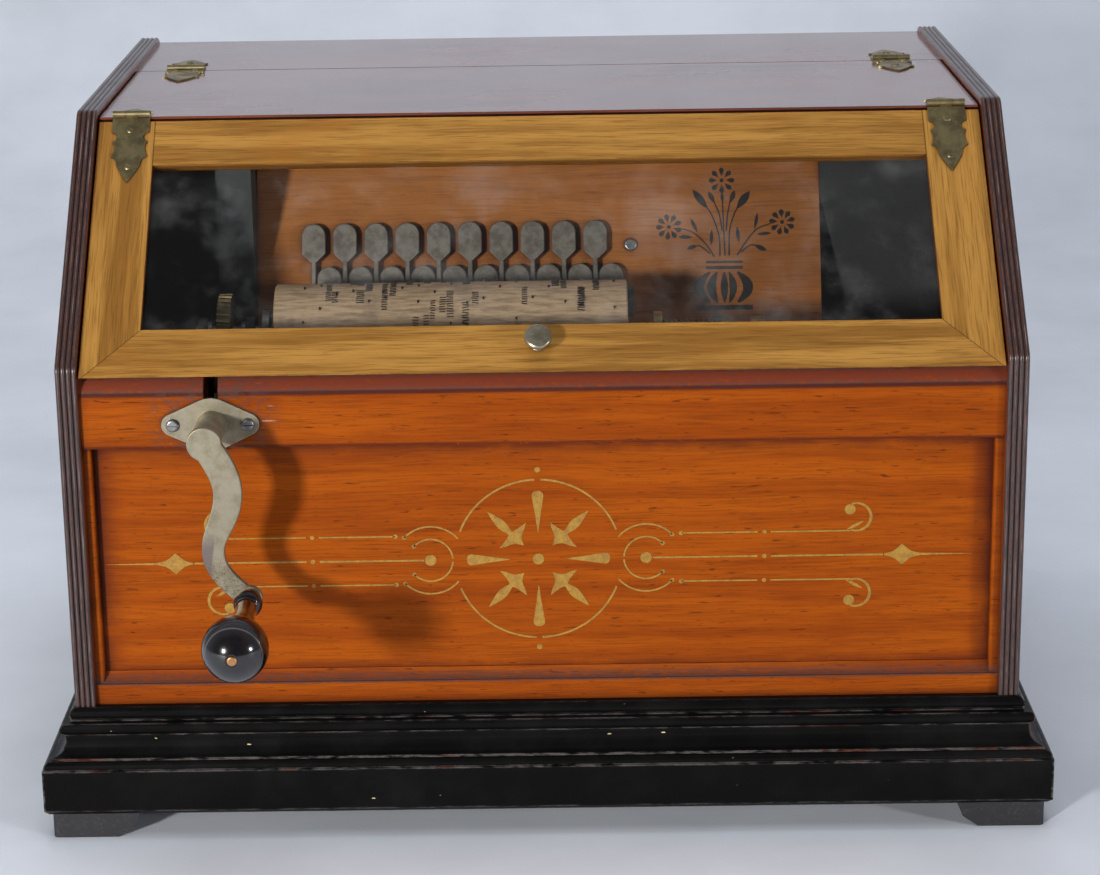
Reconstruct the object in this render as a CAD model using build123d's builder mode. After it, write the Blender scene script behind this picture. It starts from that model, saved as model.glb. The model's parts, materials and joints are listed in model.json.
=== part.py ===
"""Table roller organ with a hand crank: case, glazed door, pinned roller, 20 keys and bellows.

X runs to the right, Y to the back and Z up. The origin is on the floor, under the middle of the
whole organ's box, from the front of the crank's handle to the back of the base.
Inside, places are given as back(distance behind the front edges of the case sides) and
up(height above the top of the base). All sizes are in millimetres.
"""

import os
from math import atan, cos, pi, radians, sin, sqrt

from build123d import *

os.makedirs("parts", exist_ok=True)

# ---------------------------------------------------------------- driving dimensions
CASE_WIDTH = 428.0
CASE_DEPTH = 318.0
CASE_HEIGHT = 256.5
FRONT_HEIGHT = 159.5  # top of the front edge, where the 45 degree slope of the sides starts
SIDE_THICKNESS = 9.5
BASE_HEIGHT = 47.0
BASE_OVERHANG = 14.3
HANDLE_REACH = 100.2  # from the case's front edges to the front end of the crank's handle
FOOT_HEIGHT = 12.0
PANEL_THICKNESS = 8.0

NOTES = 20
KEY_PITCH = 7.5
FIRST_KEY = -108.8

COB_RADIUS = 22.0
COB_LEFT = -122.7
COB_RIGHT = 39.8
COB_DISTANCE = 75.0
COB_HEIGHT = 155.0

CRANK_X = -146.2
CRANK_HEIGHT = 132.6
SHAFT_RADIUS = 3.0
BORE_CLEARANCE = 0.05

GEAR_TEETH = 34
GEAR_MODULE = 1.0

DECK_HEIGHT = 108.0  # top of the board that carries the mechanism
DECK_THICKNESS = 8.0

# ---------------------------------------------------------------- worked out from them
FRONT = -(CASE_DEPTH + BASE_OVERHANG - HANDLE_REACH) / 2
CASE_MIDDLE = FRONT + CASE_DEPTH / 2
INNER_X = CASE_WIDTH / 2 - SIDE_THICKNESS
CASE_FLOOR = FOOT_HEIGHT + BASE_HEIGHT
SLOPE_DEPTH = CASE_HEIGHT - FRONT_HEIGHT


def back(distance):
    """Y of a point this far behind the front edges of the case sides."""
    return FRONT + distance


def up(height):
    """Z of a point this high above the top of the base."""
    return CASE_FLOOR + height


def yz(x=0.0):
    """A plane square to X whose sketch axes run back and up, measured from the front bottom edge."""
    return Plane(origin=(x, FRONT, CASE_FLOOR), x_dir=(0, 1, 0), z_dir=(1, 0, 0))


def xz(distance=0.0):
    """A plane facing the front, at this distance behind the case's front edges."""
    return Plane(origin=(0, back(distance), CASE_FLOOR), x_dir=(1, 0, 0), z_dir=(0, -1, 0))


def xy(height=0.0):
    """A level plane at this height above the base, measured back from the case's front edges."""
    return Plane(origin=(0, FRONT, up(height)), x_dir=(1, 0, 0), z_dir=(0, 0, 1))


def finish(name, shape):
    """Label a finished piece and write it to its own file."""
    shape.label = name
    export_step(shape, f"parts/{name}.step")


def group(name, pieces):
    """Write several separate solids to one file."""
    finish(name, Compound(label=name, children=list(pieces)))


# ---------------------------------------------------------------- base and feet
MOULDING_INSET = 20.0  # how far the base mouldings reach in under the case
BASE_BOARD = 16.0


def base_moulding(length):
    """One base moulding along X with mitred ends; its sketch Y is the overhang from the case."""
    across = Plane(origin=(0, 0, CASE_FLOOR), x_dir=(0, -1, 0), z_dir=(-1, 0, 0))
    with BuildPart() as moulding:
        with BuildSketch(across):
            with BuildLine():
                Polyline((-MOULDING_INSET, -BASE_HEIGHT), (-MOULDING_INSET, 0), (0.5, 0))
                ThreePointArc((0.5, 0), (2.3, -2), (2, -5))
                Polyline((2, -5), (2, -6), (5.5, -6))
                ThreePointArc((5.5, -6), (6.6, -8.4), (5.5, -11))
                Polyline((5.5, -11), (4.6, -11.6), (4.6, -13.5))
                ThreePointArc((4.6, -13.5), (5.6, -18.2), (10.4, -21))
                Line((10.4, -21), (10.4, -22))
                ThreePointArc((10.4, -22), (13.4, -23), (13.2, -25.5))
                Line((13.2, -25.5), (BASE_OVERHANG, -25.5))
                Line((BASE_OVERHANG, -25.5), (BASE_OVERHANG, 2 - BASE_HEIGHT))
                Line((BASE_OVERHANG, 2 - BASE_HEIGHT), (BASE_OVERHANG - 2, -BASE_HEIGHT))
                Line((BASE_OVERHANG - 2, -BASE_HEIGHT), (-MOULDING_INSET, -BASE_HEIGHT))
            make_face()
        extrude(amount=length / 2 + BASE_OVERHANG, both=True)
        for side in (-1, 1):
            mitre = Plane(origin=(side * length / 2, 0, 0), x_dir=(0, 0, 1), z_dir=(side, 1, 0))
            split(bisect_by=mitre, keep=Keep.BOTTOM)
    return moulding.part


front_moulding = base_moulding(CASE_WIDTH)
side_moulding = base_moulding(CASE_DEPTH)
group(
    "base_mouldings",
    [
        Pos(0, FRONT, 0) * front_moulding,
        Pos(CASE_WIDTH / 2, CASE_MIDDLE, 0) * Rot(0, 0, 90) * side_moulding,
        Pos(0, FRONT + CASE_DEPTH, 0) * Rot(0, 0, 180) * front_moulding,
        Pos(-CASE_WIDTH / 2, CASE_MIDDLE, 0) * Rot(0, 0, -90) * side_moulding,
    ],
)

with BuildPart() as base_board:
    with BuildSketch(Plane.XY.offset(CASE_FLOOR)):
        with Locations((0, CASE_MIDDLE)):
            Rectangle(CASE_WIDTH - 2 * MOULDING_INSET, CASE_DEPTH - 2 * MOULDING_INSET)
    extrude(amount=-BASE_BOARD)
finish("base_board", base_board.part)

FOOT_INSET = 3.0
FOOT_TOP = 40.0
FOOT_BOTTOM = 30.0
with BuildPart() as foot:
    with BuildSketch(Plane.XZ):
        with BuildLine():
            Polyline((0, 0), (0, FOOT_HEIGHT), (FOOT_TOP, FOOT_HEIGHT), (FOOT_TOP - 3, 5))
            Polyline((FOOT_TOP - 3, 5), (FOOT_BOTTOM, 0), (0, 0))
        make_face()
    extrude(amount=-FOOT_TOP)
    fillet(foot.edges().filter_by(Axis.Z).sort_by(Axis.X)[:2], radius=2.5)
foot_x = CASE_WIDTH / 2 + BASE_OVERHANG - FOOT_INSET
front_foot_y = FRONT - BASE_OVERHANG + FOOT_INSET
rear_foot_y = FRONT + CASE_DEPTH + BASE_OVERHANG - FOOT_INSET - FOOT_TOP
left_foot = Pos(-foot_x, front_foot_y, 0) * foot.part
left_rear_foot = Pos(-foot_x, rear_foot_y, 0) * foot.part
group(
    "feet",
    [
        left_foot,
        left_rear_foot,
        mirror(left_foot, about=Plane.YZ),
        mirror(left_rear_foot, about=Plane.YZ),
    ],
)

# ---------------------------------------------------------------- case sides, front and back
REEDS = 4  # half-round reeds along the front, sloping and top edges of each side
KNUCKLE_ROUND = 6.0  # where the slope meets the front and top edges
REAR_ROUND = 9.0


def side_board(left_face):
    """A side board whose left face stands at this X; each reed is the edge of one thin layer."""
    layer = SIDE_THICKNESS / REEDS
    with BuildPart() as board:
        for index in range(REEDS):
            with BuildPart(mode=Mode.PRIVATE) as slice_part:
                with BuildSketch(yz(left_face + index * layer)):
                    with BuildLine():
                        Polyline(
                            (0, 0),
                            (0, FRONT_HEIGHT),
                            (SLOPE_DEPTH, CASE_HEIGHT),
                            (CASE_DEPTH, CASE_HEIGHT),
                            (CASE_DEPTH, 0),
                            close=True,
                        )
                    make_face()
                extrude(amount=layer)
                corners = slice_part.edges().filter_by(Axis.X).sort_by(Axis.Y)
                fillet(corners[1:3], radius=KNUCKLE_ROUND)
                rear_top = slice_part.edges().filter_by(Axis.X).sort_by(Axis.Y)[-2:].sort_by(Axis.Z)
                fillet(rear_top[-1], radius=REAR_ROUND)
                faces = slice_part.faces().sort_by(Axis.X)
                ring = faces[0].edges() + faces[-1].edges()
                reeded = [
                    edge
                    for edge in ring
                    if edge.center().Z > up(1) and edge.center().Y < back(CASE_DEPTH - 0.5)
                ]
                fillet(reeded, radius=layer / 2 - 0.05)
            add(slice_part.part)
    return board.part


side_board_left = side_board(-CASE_WIDTH / 2)
finish("side_board_left", side_board_left)
finish("side_board_right", side_board(INNER_X))

PANEL_FACE = 9.0
RAIL_FACE = 3.0
RAIL_BACK = 21.0
TOP_RAIL_BOTTOM = 121.5
TOP_RAIL_TOP = 154.6
COVE_BOTTOM = 146.0
BOTTOM_RAIL_TOP = 14.0
GROOVE = 4.0
BEAD_WIDTH = 4.0
BEAD_FACE = 4.5
BEAD_FOOT = 9.5

with BuildPart() as front_panel:
    with BuildSketch(xz(PANEL_FACE + PANEL_THICKNESS)):
        with Locations((0, (BOTTOM_RAIL_TOP + TOP_RAIL_BOTTOM) / 2)):
            Rectangle(2 * INNER_X, TOP_RAIL_BOTTOM - BOTTOM_RAIL_TOP + 2 * GROOVE)
    extrude(amount=PANEL_THICKNESS)
finish("front_panel", front_panel.part)

with BuildPart() as top_rail:
    with BuildSketch(yz(-INNER_X)):
        with BuildLine():
            Line((RAIL_FACE, TOP_RAIL_BOTTOM), (RAIL_FACE, COVE_BOTTOM))
            ThreePointArc((RAIL_FACE, COVE_BOTTOM), (5, 151.2), (10, TOP_RAIL_TOP))
            Polyline((10, TOP_RAIL_TOP), (RAIL_BACK, TOP_RAIL_TOP), (RAIL_BACK, TOP_RAIL_BOTTOM))
            Line((RAIL_BACK, TOP_RAIL_BOTTOM), (RAIL_FACE, TOP_RAIL_BOTTOM))
        make_face()
        with Locations((PANEL_FACE + PANEL_THICKNESS / 2, TOP_RAIL_BOTTOM + GROOVE / 2)):
            Rectangle(PANEL_THICKNESS, GROOVE, mode=Mode.SUBTRACT)
    extrude(amount=2 * INNER_X)
    # slot that lets the crank shaft drop in from above
    with BuildSketch(xz(RAIL_BACK)):
        with Locations((CRANK_X, CRANK_HEIGHT)):
            Circle(SHAFT_RADIUS + 0.3)
        with Locations((CRANK_X, (CRANK_HEIGHT + TOP_RAIL_TOP) / 2)):
            Rectangle(2 * SHAFT_RADIUS + 0.6, TOP_RAIL_TOP - CRANK_HEIGHT)
    extrude(amount=RAIL_BACK, mode=Mode.SUBTRACT)
    # pilot holes for the two screws of the crank plate
    with BuildSketch(xz(RAIL_BACK)):
        with Locations((-163.3, CRANK_HEIGHT), (-130.1, CRANK_HEIGHT)):
            Circle(1.5)
    extrude(amount=RAIL_BACK, mode=Mode.SUBTRACT)

# a narrow bead stands in the corner between the panel and each side
with BuildPart() as end_bead:
    with BuildSketch(xz(PANEL_FACE)):
        with Locations((INNER_X - BEAD_WIDTH / 2, (BEAD_FOOT + TOP_RAIL_BOTTOM) / 2)):
            Rectangle(BEAD_WIDTH, TOP_RAIL_BOTTOM - BEAD_FOOT)
    extrude(amount=PANEL_FACE - BEAD_FACE)
    front_arrises = end_bead.faces().sort_by(Axis.Y)[0].edges().filter_by(Axis.Z)
    fillet(front_arrises.sort_by(Axis.X)[0], radius=1.5)

with BuildPart() as bottom_rail:
    with BuildSketch(yz(-INNER_X)):
        with BuildLine():
            Polyline((RAIL_FACE, 0), (RAIL_FACE, BEAD_FOOT), (BEAD_FACE, BEAD_FOOT), (BEAD_FACE, 10))
            ThreePointArc((BEAD_FACE, 10), (7, 11.5), (8.6, BOTTOM_RAIL_TOP))
            Polyline((8.6, BOTTOM_RAIL_TOP), (RAIL_BACK, BOTTOM_RAIL_TOP), (RAIL_BACK, 0), (RAIL_FACE, 0))
        make_face()
        with Locations((PANEL_FACE + PANEL_THICKNESS / 2, BOTTOM_RAIL_TOP - GROOVE / 2)):
            Rectangle(PANEL_THICKNESS, GROOVE, mode=Mode.SUBTRACT)
    extrude(amount=2 * INNER_X)
    add(end_bead.part)
    add(mirror(end_bead.part, about=Plane.YZ, mode=Mode.PRIVATE))
group("front_rails", [top_rail.part, bottom_rail.part])

BACK_FACE = 307.0
TOP_THICKNESS = 8.0
TOP_HEIGHT = 253.0
SEAM = 223.0  # where the lid meets the fixed rear strip

with BuildPart() as back_panel:
    with BuildSketch(xz(BACK_FACE + PANEL_THICKNESS)):
        with Locations((0, (TOP_HEIGHT - TOP_THICKNESS) / 2)):
            Rectangle(2 * INNER_X, TOP_HEIGHT - TOP_THICKNESS)
    extrude(amount=PANEL_THICKNESS)
    # sound slots, under the top edge
    with BuildSketch(xz(BACK_FACE + PANEL_THICKNESS)):
        with Locations((0, 205)), GridLocations(60, 1, 5, 1):
            SlotOverall(44, 8)
    extrude(amount=PANEL_THICKNESS, mode=Mode.SUBTRACT)
finish("back_panel", back_panel.part)

with BuildPart() as top_rear_strip:
    with BuildSketch(xy(TOP_HEIGHT)):
        with Locations((0, (SEAM + BACK_FACE + PANEL_THICKNESS + 0.5) / 2)):
            Rectangle(2 * INNER_X, BACK_FACE + PANEL_THICKNESS - SEAM - 0.5)
    extrude(amount=-TOP_THICKNESS)
finish("top_rear_strip", top_rear_strip.part)

# ---------------------------------------------------------------- deck and wind chest
ROD_SLOT = (30.0, 9.0)  # opening in the deck for the connecting rod
ROD_DISTANCE = 178.0
CHEST_LEFT = -128.0
CHEST_RIGHT = 128.0
WIND_HOLE = 26.0
WIND_HOLES = ((100, 170), (-60, 170))  # X and distance back

with BuildPart() as mechanism_deck:
    with BuildSketch(xy(DECK_HEIGHT)):
        with Locations((0, (PANEL_FACE + PANEL_THICKNESS + BACK_FACE) / 2)):
            Rectangle(2 * INNER_X, BACK_FACE - PANEL_FACE - PANEL_THICKNESS)
        with Locations((CRANK_X, ROD_DISTANCE)):
            Rectangle(*ROD_SLOT, mode=Mode.SUBTRACT)
        with Locations(*WIND_HOLES):
            Circle(WIND_HOLE / 2, mode=Mode.SUBTRACT)
    extrude(amount=-DECK_THICKNESS)
finish("mechanism_deck", mechanism_deck.part)

BOARD_LEAN = 20.0  # degrees back from upright
BOARD_ORIGIN = (115.0, 150.0)  # a point of the pallet board's face, back and up
BOARD_LEFT = -136.0
BOARD_RIGHT = 134.3
BOARD_TOP = 83.0
BOARD_THICKNESS = 10.0
LEAN_SIN = sin(radians(BOARD_LEAN))
LEAN_COS = cos(radians(BOARD_LEAN))


def on_board(climb, rise):
    """Back and up of a point this far up the pallet board and this far in front of its face."""
    return (
        BOARD_ORIGIN[0] + climb * LEAN_SIN - rise * LEAN_COS,
        BOARD_ORIGIN[1] + climb * LEAN_COS + rise * LEAN_SIN,
    )


def board_plane(rise=0.0):
    """The pallet board's face: sketch X runs right, sketch Y up the board."""
    distance, height = on_board(0, rise)
    return Plane(
        origin=(0, back(distance), up(height)),
        x_dir=(1, 0, 0),
        z_dir=(0, -LEAN_COS, LEAN_SIN),
    )


def climb_at(height, rise):
    """How far up the board a point this far in front of its face reaches this height."""
    return (height - BOARD_ORIGIN[1] - rise * LEAN_SIN) / LEAN_COS


UPPER_PADDLE = 36.4  # middle of the upper row of paddles, up the board
LOWER_PADDLE = 15.6
PADDLE_WIDTH = 11.4
PADDLE_HEIGHT = 18.4
PADDLE_FOOT = 1.4  # half width where a paddle meets its neck
BOARD_SCREW = (43.3, 33.9)
key_x = [FIRST_KEY + index * KEY_PITCH for index in range(NOTES)]
tone_holes = [(x, LOWER_PADDLE if index % 2 else UPPER_PADDLE) for index, x in enumerate(key_x)]

with BuildPart() as pallet_board:
    with BuildSketch(yz(BOARD_LEFT)):
        Polygon(
            on_board(climb_at(DECK_HEIGHT, 0), 0),
            on_board(BOARD_TOP, 0),
            on_board(BOARD_TOP, -BOARD_THICKNESS),
            on_board(climb_at(DECK_HEIGHT, -BOARD_THICKNESS), -BOARD_THICKNESS),
            align=None,
        )
    extrude(amount=BOARD_RIGHT - BOARD_LEFT)
    with BuildSketch(board_plane()):
        with Locations(*tone_holes):
            Circle(2.2)
        with Locations(BOARD_SCREW):
            Circle(1.5)
    extrude(amount=-BOARD_THICKNESS, mode=Mode.SUBTRACT)
finish("pallet_board", pallet_board.part)

CHEST_WALL = 6.0
CHEST_BACK = 205.0
CHEST_TOP = 215.0

with BuildPart() as chest_box:
    with BuildSketch(yz(CHEST_LEFT)):
        Polygon(
            on_board(climb_at(DECK_HEIGHT, -BOARD_THICKNESS), -BOARD_THICKNESS),
            on_board(climb_at(CHEST_TOP, -BOARD_THICKNESS), -BOARD_THICKNESS),
            (CHEST_BACK, CHEST_TOP),
            (CHEST_BACK, DECK_HEIGHT),
            align=None,
        )
    extrude(amount=CHEST_RIGHT - CHEST_LEFT)
    # open towards the pallet board, with walls all round
    with BuildSketch(yz(CHEST_LEFT + CHEST_WALL)):
        Polygon(
            on_board(climb_at(DECK_HEIGHT + CHEST_WALL, -BOARD_THICKNESS), -BOARD_THICKNESS),
            on_board(climb_at(CHEST_TOP - CHEST_WALL, -BOARD_THICKNESS), -BOARD_THICKNESS),
            (CHEST_BACK - CHEST_WALL, CHEST_TOP - CHEST_WALL),
            (CHEST_BACK - CHEST_WALL, DECK_HEIGHT + CHEST_WALL),
            align=None,
        )
    extrude(amount=CHEST_RIGHT - CHEST_LEFT - 2 * CHEST_WALL, mode=Mode.SUBTRACT)
    with BuildSketch(xy(DECK_HEIGHT)):
        with Locations(*WIND_HOLES):
            Circle(WIND_HOLE / 2)
    extrude(amount=CHEST_WALL, mode=Mode.SUBTRACT)

POST_LEFT = -153.0
POST_FRONT = 112.0
POST_TOP = 232.0
with BuildPart() as gear_post:
    with BuildSketch(yz(POST_LEFT)):
        Polygon(
            (POST_FRONT, DECK_HEIGHT),
            (POST_FRONT, POST_TOP),
            (POST_FRONT + 22, POST_TOP),
            (POST_FRONT + 22, DECK_HEIGHT),
            align=None,
        )
    extrude(amount=BOARD_LEFT - 0.2 - POST_LEFT)
    with BuildSketch(xz(POST_FRONT + 22)):
        with Locations((CRANK_X, CRANK_HEIGHT)):
            Circle(SHAFT_RADIUS + 1)
    extrude(amount=22, mode=Mode.SUBTRACT)


def end_screen(left, right):
    """A thin upright board beside the pallet board that hides the works behind it."""
    with BuildPart() as screen:
        with BuildSketch(xz(POST_FRONT + 28)):
            with Locations(((left + right) / 2, (DECK_HEIGHT + POST_TOP) / 2)):
                Rectangle(right - left, POST_TOP - DECK_HEIGHT)
        extrude(amount=5)
    return screen.part


SCREEN_GAP = 0.2
left_screen = end_screen(-INNER_X, POST_LEFT - SCREEN_GAP)
right_screen = end_screen(BOARD_RIGHT + SCREEN_GAP, INNER_X)
group("wind_chest", [chest_box.part, gear_post.part, left_screen, right_screen])

REED_LENGTH = 26.0
reed_cells = []
for x, climb in tone_holes:
    with BuildPart() as reed:
        with BuildSketch(board_plane(-BOARD_THICKNESS)):
            with Locations((x, climb)):
                Rectangle(5.5, REED_LENGTH / 2)
                Circle(2.2, mode=Mode.SUBTRACT)
        extrude(amount=-1.5)
    reed_cells.append(reed.part)
group("reeds", reed_cells)

# ---------------------------------------------------------------- keys
PIVOT = (8.5, 11.6)  # up the board and in front of it
PIVOT_RADIUS = 1.5
KEY_THICKNESS = 2.2
PLATE_LOW = 3.0
PLATE_HIGH = 4.2
KEY_TIP = (98.3, 157.0)  # back and up, just behind the cob's pins
pivot_back, pivot_up = on_board(*PIVOT)


def tone_key(x, paddle):
    """One key: pivot eye, tip towards the cob, and a neck that carries the paddle."""
    with BuildPart() as key:
        with BuildSketch(yz(x - KEY_THICKNESS / 2)):
            with Locations((pivot_back, pivot_up)):
                Circle(3.2)
            Polygon(
                KEY_TIP,
                (KEY_TIP[0] + 1.6, KEY_TIP[1] - 1.2),
                (pivot_back + 1.2, pivot_up - 2.4),
                (pivot_back - 1.6, pivot_up + 2.6),
                align=None,
            )
            # cranked neck from the eye down to the plate's height, then up the board
            Polygon(
                (pivot_back, pivot_up - 2.6),
                (pivot_back - 0.8, pivot_up + 2.9),
                on_board(PIVOT[0] + 4.5, PLATE_HIGH),
                on_board(paddle - PADDLE_HEIGHT / 2 + 4, PLATE_HIGH),
                on_board(paddle - PADDLE_HEIGHT / 2 + 4, PLATE_LOW),
                on_board(PIVOT[0] - 0.5, PLATE_LOW),
                align=None,
            )
            with Locations((pivot_back, pivot_up)):
                Circle(PIVOT_RADIUS + BORE_CLEARANCE, mode=Mode.SUBTRACT)
        extrude(amount=KEY_THICKNESS)
        with BuildSketch(board_plane(PLATE_LOW)):
            with BuildLine():
                half = PADDLE_WIDTH / 2
                low = paddle - PADDLE_HEIGHT / 2
                high = paddle + PADDLE_HEIGHT / 2
                shoulder = low + 4.2
                crown = high - half
                Polyline((x - PADDLE_FOOT, low), (x - half, shoulder), (x - half, crown))
                ThreePointArc((x - half, crown), (x, high), (x + half, crown))
                Polyline((x + half, crown), (x + half, shoulder), (x + PADDLE_FOOT, low))
                Line((x + PADDLE_FOOT, low), (x - PADDLE_FOOT, low))
            make_face()
        extrude(amount=PLATE_HIGH - PLATE_LOW)
        plate_top = board_plane(PLATE_HIGH)
        rim = key.faces().filter_by(lambda face: abs(plate_top.to_local_coords(face.center()).Z) < 0.01)
        chamfer(rim.sort_by(SortBy.AREA)[-1].edges().sort_by(SortBy.LENGTH)[-3:], length=0.4)
    return key.part


for index, (x, paddle) in enumerate(tone_holes):
    finish(f"key_{index + 1:02d}", tone_key(x, paddle))

ROD_LEFT = -121.0
ROD_RIGHT = 44.0
with BuildPart() as key_pivot_rod:
    with BuildSketch(yz(ROD_LEFT)):
        with Locations((pivot_back, pivot_up)):
            Circle(PIVOT_RADIUS)
    extrude(amount=ROD_RIGHT - ROD_LEFT)
finish("key_pivot_rod", key_pivot_rod.part)

SPRING_WIRE = 0.35
spring_wires = []
for x in key_x:
    foot_point = on_board(-16, 0.4)
    bend_point = on_board(-14, 7)
    end_point = (KEY_TIP[0] + 3.2, KEY_TIP[1] - 3.4)
    with BuildPart() as spring:
        with BuildLine(yz(x)) as wire_line:
            Polyline(foot_point, bend_point, end_point)
        with BuildSketch(Plane(wire_line.line @ 0, z_dir=wire_line.line % 0)):
            Circle(SPRING_WIRE)
        sweep(transition=Transition.ROUND)
    spring_wires.append(spring.part)
group("key_springs", spring_wires)

# ---------------------------------------------------------------- bearings
ARBOR_RADIUS = 3.0
EAR = 4.0
EAR_LEFT = -159.0
EAR_RIGHT = -137.0


def arbor_ear(left):
    """One ear of the U-shaped bracket that carries the arbor."""
    with BuildPart() as ear:
        with BuildSketch(yz(left)):
            with BuildLine():
                Polyline((COB_DISTANCE - 7, COB_HEIGHT), (COB_DISTANCE - 11, DECK_HEIGHT))
                Polyline((COB_DISTANCE - 11, DECK_HEIGHT), (COB_DISTANCE + 11, DECK_HEIGHT))
                Polyline((COB_DISTANCE + 11, DECK_HEIGHT), (COB_DISTANCE + 7, COB_HEIGHT))
                ThreePointArc(
                    (COB_DISTANCE + 7, COB_HEIGHT),
                    (COB_DISTANCE, COB_HEIGHT + 7),
                    (COB_DISTANCE - 7, COB_HEIGHT),
                )
            make_face()
            with Locations((COB_DISTANCE, COB_HEIGHT)):
                Circle(ARBOR_RADIUS + BORE_CLEARANCE, mode=Mode.SUBTRACT)
        extrude(amount=EAR)
    return ear.part


with BuildPart() as arbor_bracket:
    with BuildSketch(xy(DECK_HEIGHT)):
        with Locations(((EAR_LEFT + EAR_RIGHT + EAR) / 2, COB_DISTANCE)):
            Rectangle(EAR_RIGHT + EAR - EAR_LEFT, 22)
    extrude(amount=3)
    add(arbor_ear(EAR_LEFT))
    add(arbor_ear(EAR_RIGHT))

REAR_BEARING = 158.0
with BuildPart() as rear_bearing:
    with BuildSketch(xz(REAR_BEARING + 8)):
        with BuildLine():
            Polyline((CRANK_X - 7, CRANK_HEIGHT), (CRANK_X - 9, DECK_HEIGHT))
            Polyline((CRANK_X - 9, DECK_HEIGHT), (CRANK_X + 9, DECK_HEIGHT))
            Polyline((CRANK_X + 9, DECK_HEIGHT), (CRANK_X + 7, CRANK_HEIGHT))
            ThreePointArc(
                (CRANK_X + 7, CRANK_HEIGHT),
                (CRANK_X, CRANK_HEIGHT + 7),
                (CRANK_X - 7, CRANK_HEIGHT),
            )
        make_face()
        with Locations((CRANK_X, CRANK_HEIGHT)):
            Circle(SHAFT_RADIUS + BORE_CLEARANCE, mode=Mode.SUBTRACT)
    extrude(amount=8)

TAIL_EAR = 80.0
SPINDLE_RADIUS = 2.0
with BuildPart() as tail_bracket:
    with BuildSketch(yz(TAIL_EAR)):
        with BuildLine():
            Polyline((COB_DISTANCE - 5, COB_HEIGHT), (COB_DISTANCE - 9, DECK_HEIGHT))
            Polyline((COB_DISTANCE - 9, DECK_HEIGHT), (COB_DISTANCE + 9, DECK_HEIGHT))
            Polyline((COB_DISTANCE + 9, DECK_HEIGHT), (COB_DISTANCE + 5, COB_HEIGHT))
            ThreePointArc(
                (COB_DISTANCE + 5, COB_HEIGHT),
                (COB_DISTANCE, COB_HEIGHT + 5),
                (COB_DISTANCE - 5, COB_HEIGHT),
            )
        make_face()
        with Locations((COB_DISTANCE, COB_HEIGHT)):
            Circle(SPINDLE_RADIUS + BORE_CLEARANCE, mode=Mode.SUBTRACT)
    extrude(amount=EAR)
    with BuildSketch(xy(DECK_HEIGHT)):
        with Locations((TAIL_EAR + 8, COB_DISTANCE)):
            Rectangle(16, 18)
    extrude(amount=3)


def rod_bracket(left):
    """A small cheek on the pallet board that carries one end of the key pivot rod."""
    with BuildPart() as cheek:
        with BuildSketch(yz(left)):
            with Locations((pivot_back, pivot_up)):
                Circle(3.4)
            Polygon(
                on_board(PIVOT[0] - 9, 0),
                on_board(PIVOT[0] + 5, 0),
                on_board(PIVOT[0] + 3.4, PIVOT[1]),
                on_board(PIVOT[0] - 3.4, PIVOT[1]),
                align=None,
            )
            with Locations((pivot_back, pivot_up)):
                Circle(PIVOT_RADIUS, mode=Mode.SUBTRACT)
        extrude(amount=3)
    return cheek.part


group(
    "bearing_brackets",
    [
        arbor_bracket.part,
        rear_bearing.part,
        tail_bracket.part,
        rod_bracket(ROD_LEFT),
        rod_bracket(ROD_RIGHT - 3),
    ],
)

# ---------------------------------------------------------------- crank
PLATE_FACE = 1.5
BOSS_RADIUS = 6.6
ARM_FRONT = -28.0
ARM_THICKNESS = 3.0
ARM_BACK = ARM_FRONT + ARM_THICKNESS
BOSS_FRONT = -12.0
PLATE_SCREWS = ((-163.3, CRANK_HEIGHT), (-130.1, CRANK_HEIGHT))

with BuildPart() as crank_plate:
    with BuildSketch(xz(RAIL_FACE)):
        with BuildLine() as plate_rounds:
            CenterArc((CRANK_X, CRANK_HEIGHT), 12.1, 0, 360)
            for place in PLATE_SCREWS:
                CenterArc(place, 5, 0, 360)
        make_hull(plate_rounds.edges())
        with Locations(*PLATE_SCREWS):
            Circle(1.5, mode=Mode.SUBTRACT)
    extrude(amount=RAIL_FACE - PLATE_FACE)
    with BuildSketch(xz(PLATE_FACE)):
        with Locations((CRANK_X, CRANK_HEIGHT)):
            Circle(BOSS_RADIUS)
    extrude(amount=PLATE_FACE - BOSS_FRONT)
    fillet(crank_plate.faces().sort_by(Axis.Y)[0].edges(), radius=1)
    with BuildSketch(xz(RAIL_FACE)):
        with Locations((CRANK_X, CRANK_HEIGHT)):
            Circle(SHAFT_RADIUS + BORE_CLEARANCE)
    extrude(amount=RAIL_FACE - BOSS_FRONT, mode=Mode.SUBTRACT)
finish("crank_plate", crank_plate.part)


def screw(head_plane, head_radius, length):
    """A round-headed screw; the plane is where its head sits, facing out."""
    with BuildPart() as piece:
        with BuildSketch(head_plane):
            Circle(head_radius)
        extrude(amount=1.6)
        fillet(piece.faces().sort_by(Axis(head_plane.origin, head_plane.z_dir))[-1].edges(), radius=1.2)
        with BuildSketch(head_plane):
            Circle(1.5)
        extrude(amount=-length)
        with BuildSketch(head_plane.offset(1.6)):
            Rectangle(2 * head_radius, 0.7)
        extrude(amount=-0.7, mode=Mode.SUBTRACT)
    return piece.part


plate_screws = [
    screw(
        Plane(origin=(x, back(PLATE_FACE), up(height)), x_dir=(1, 0, 0), z_dir=(0, -1, 0)),
        3.0,
        14,
    )
    for x, height in PLATE_SCREWS
]
board_screw_back, board_screw_up = on_board(BOARD_SCREW[1], 0)
board_screw = screw(
    Plane(
        origin=(BOARD_SCREW[0], back(board_screw_back), up(board_screw_up)),
        x_dir=(1, 0, 0),
        z_dir=(0, -LEAN_COS, LEAN_SIN),
    ),
    3.2,
    BOARD_THICKNESS,
)
group("case_screws", [*plate_screws, board_screw])

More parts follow.
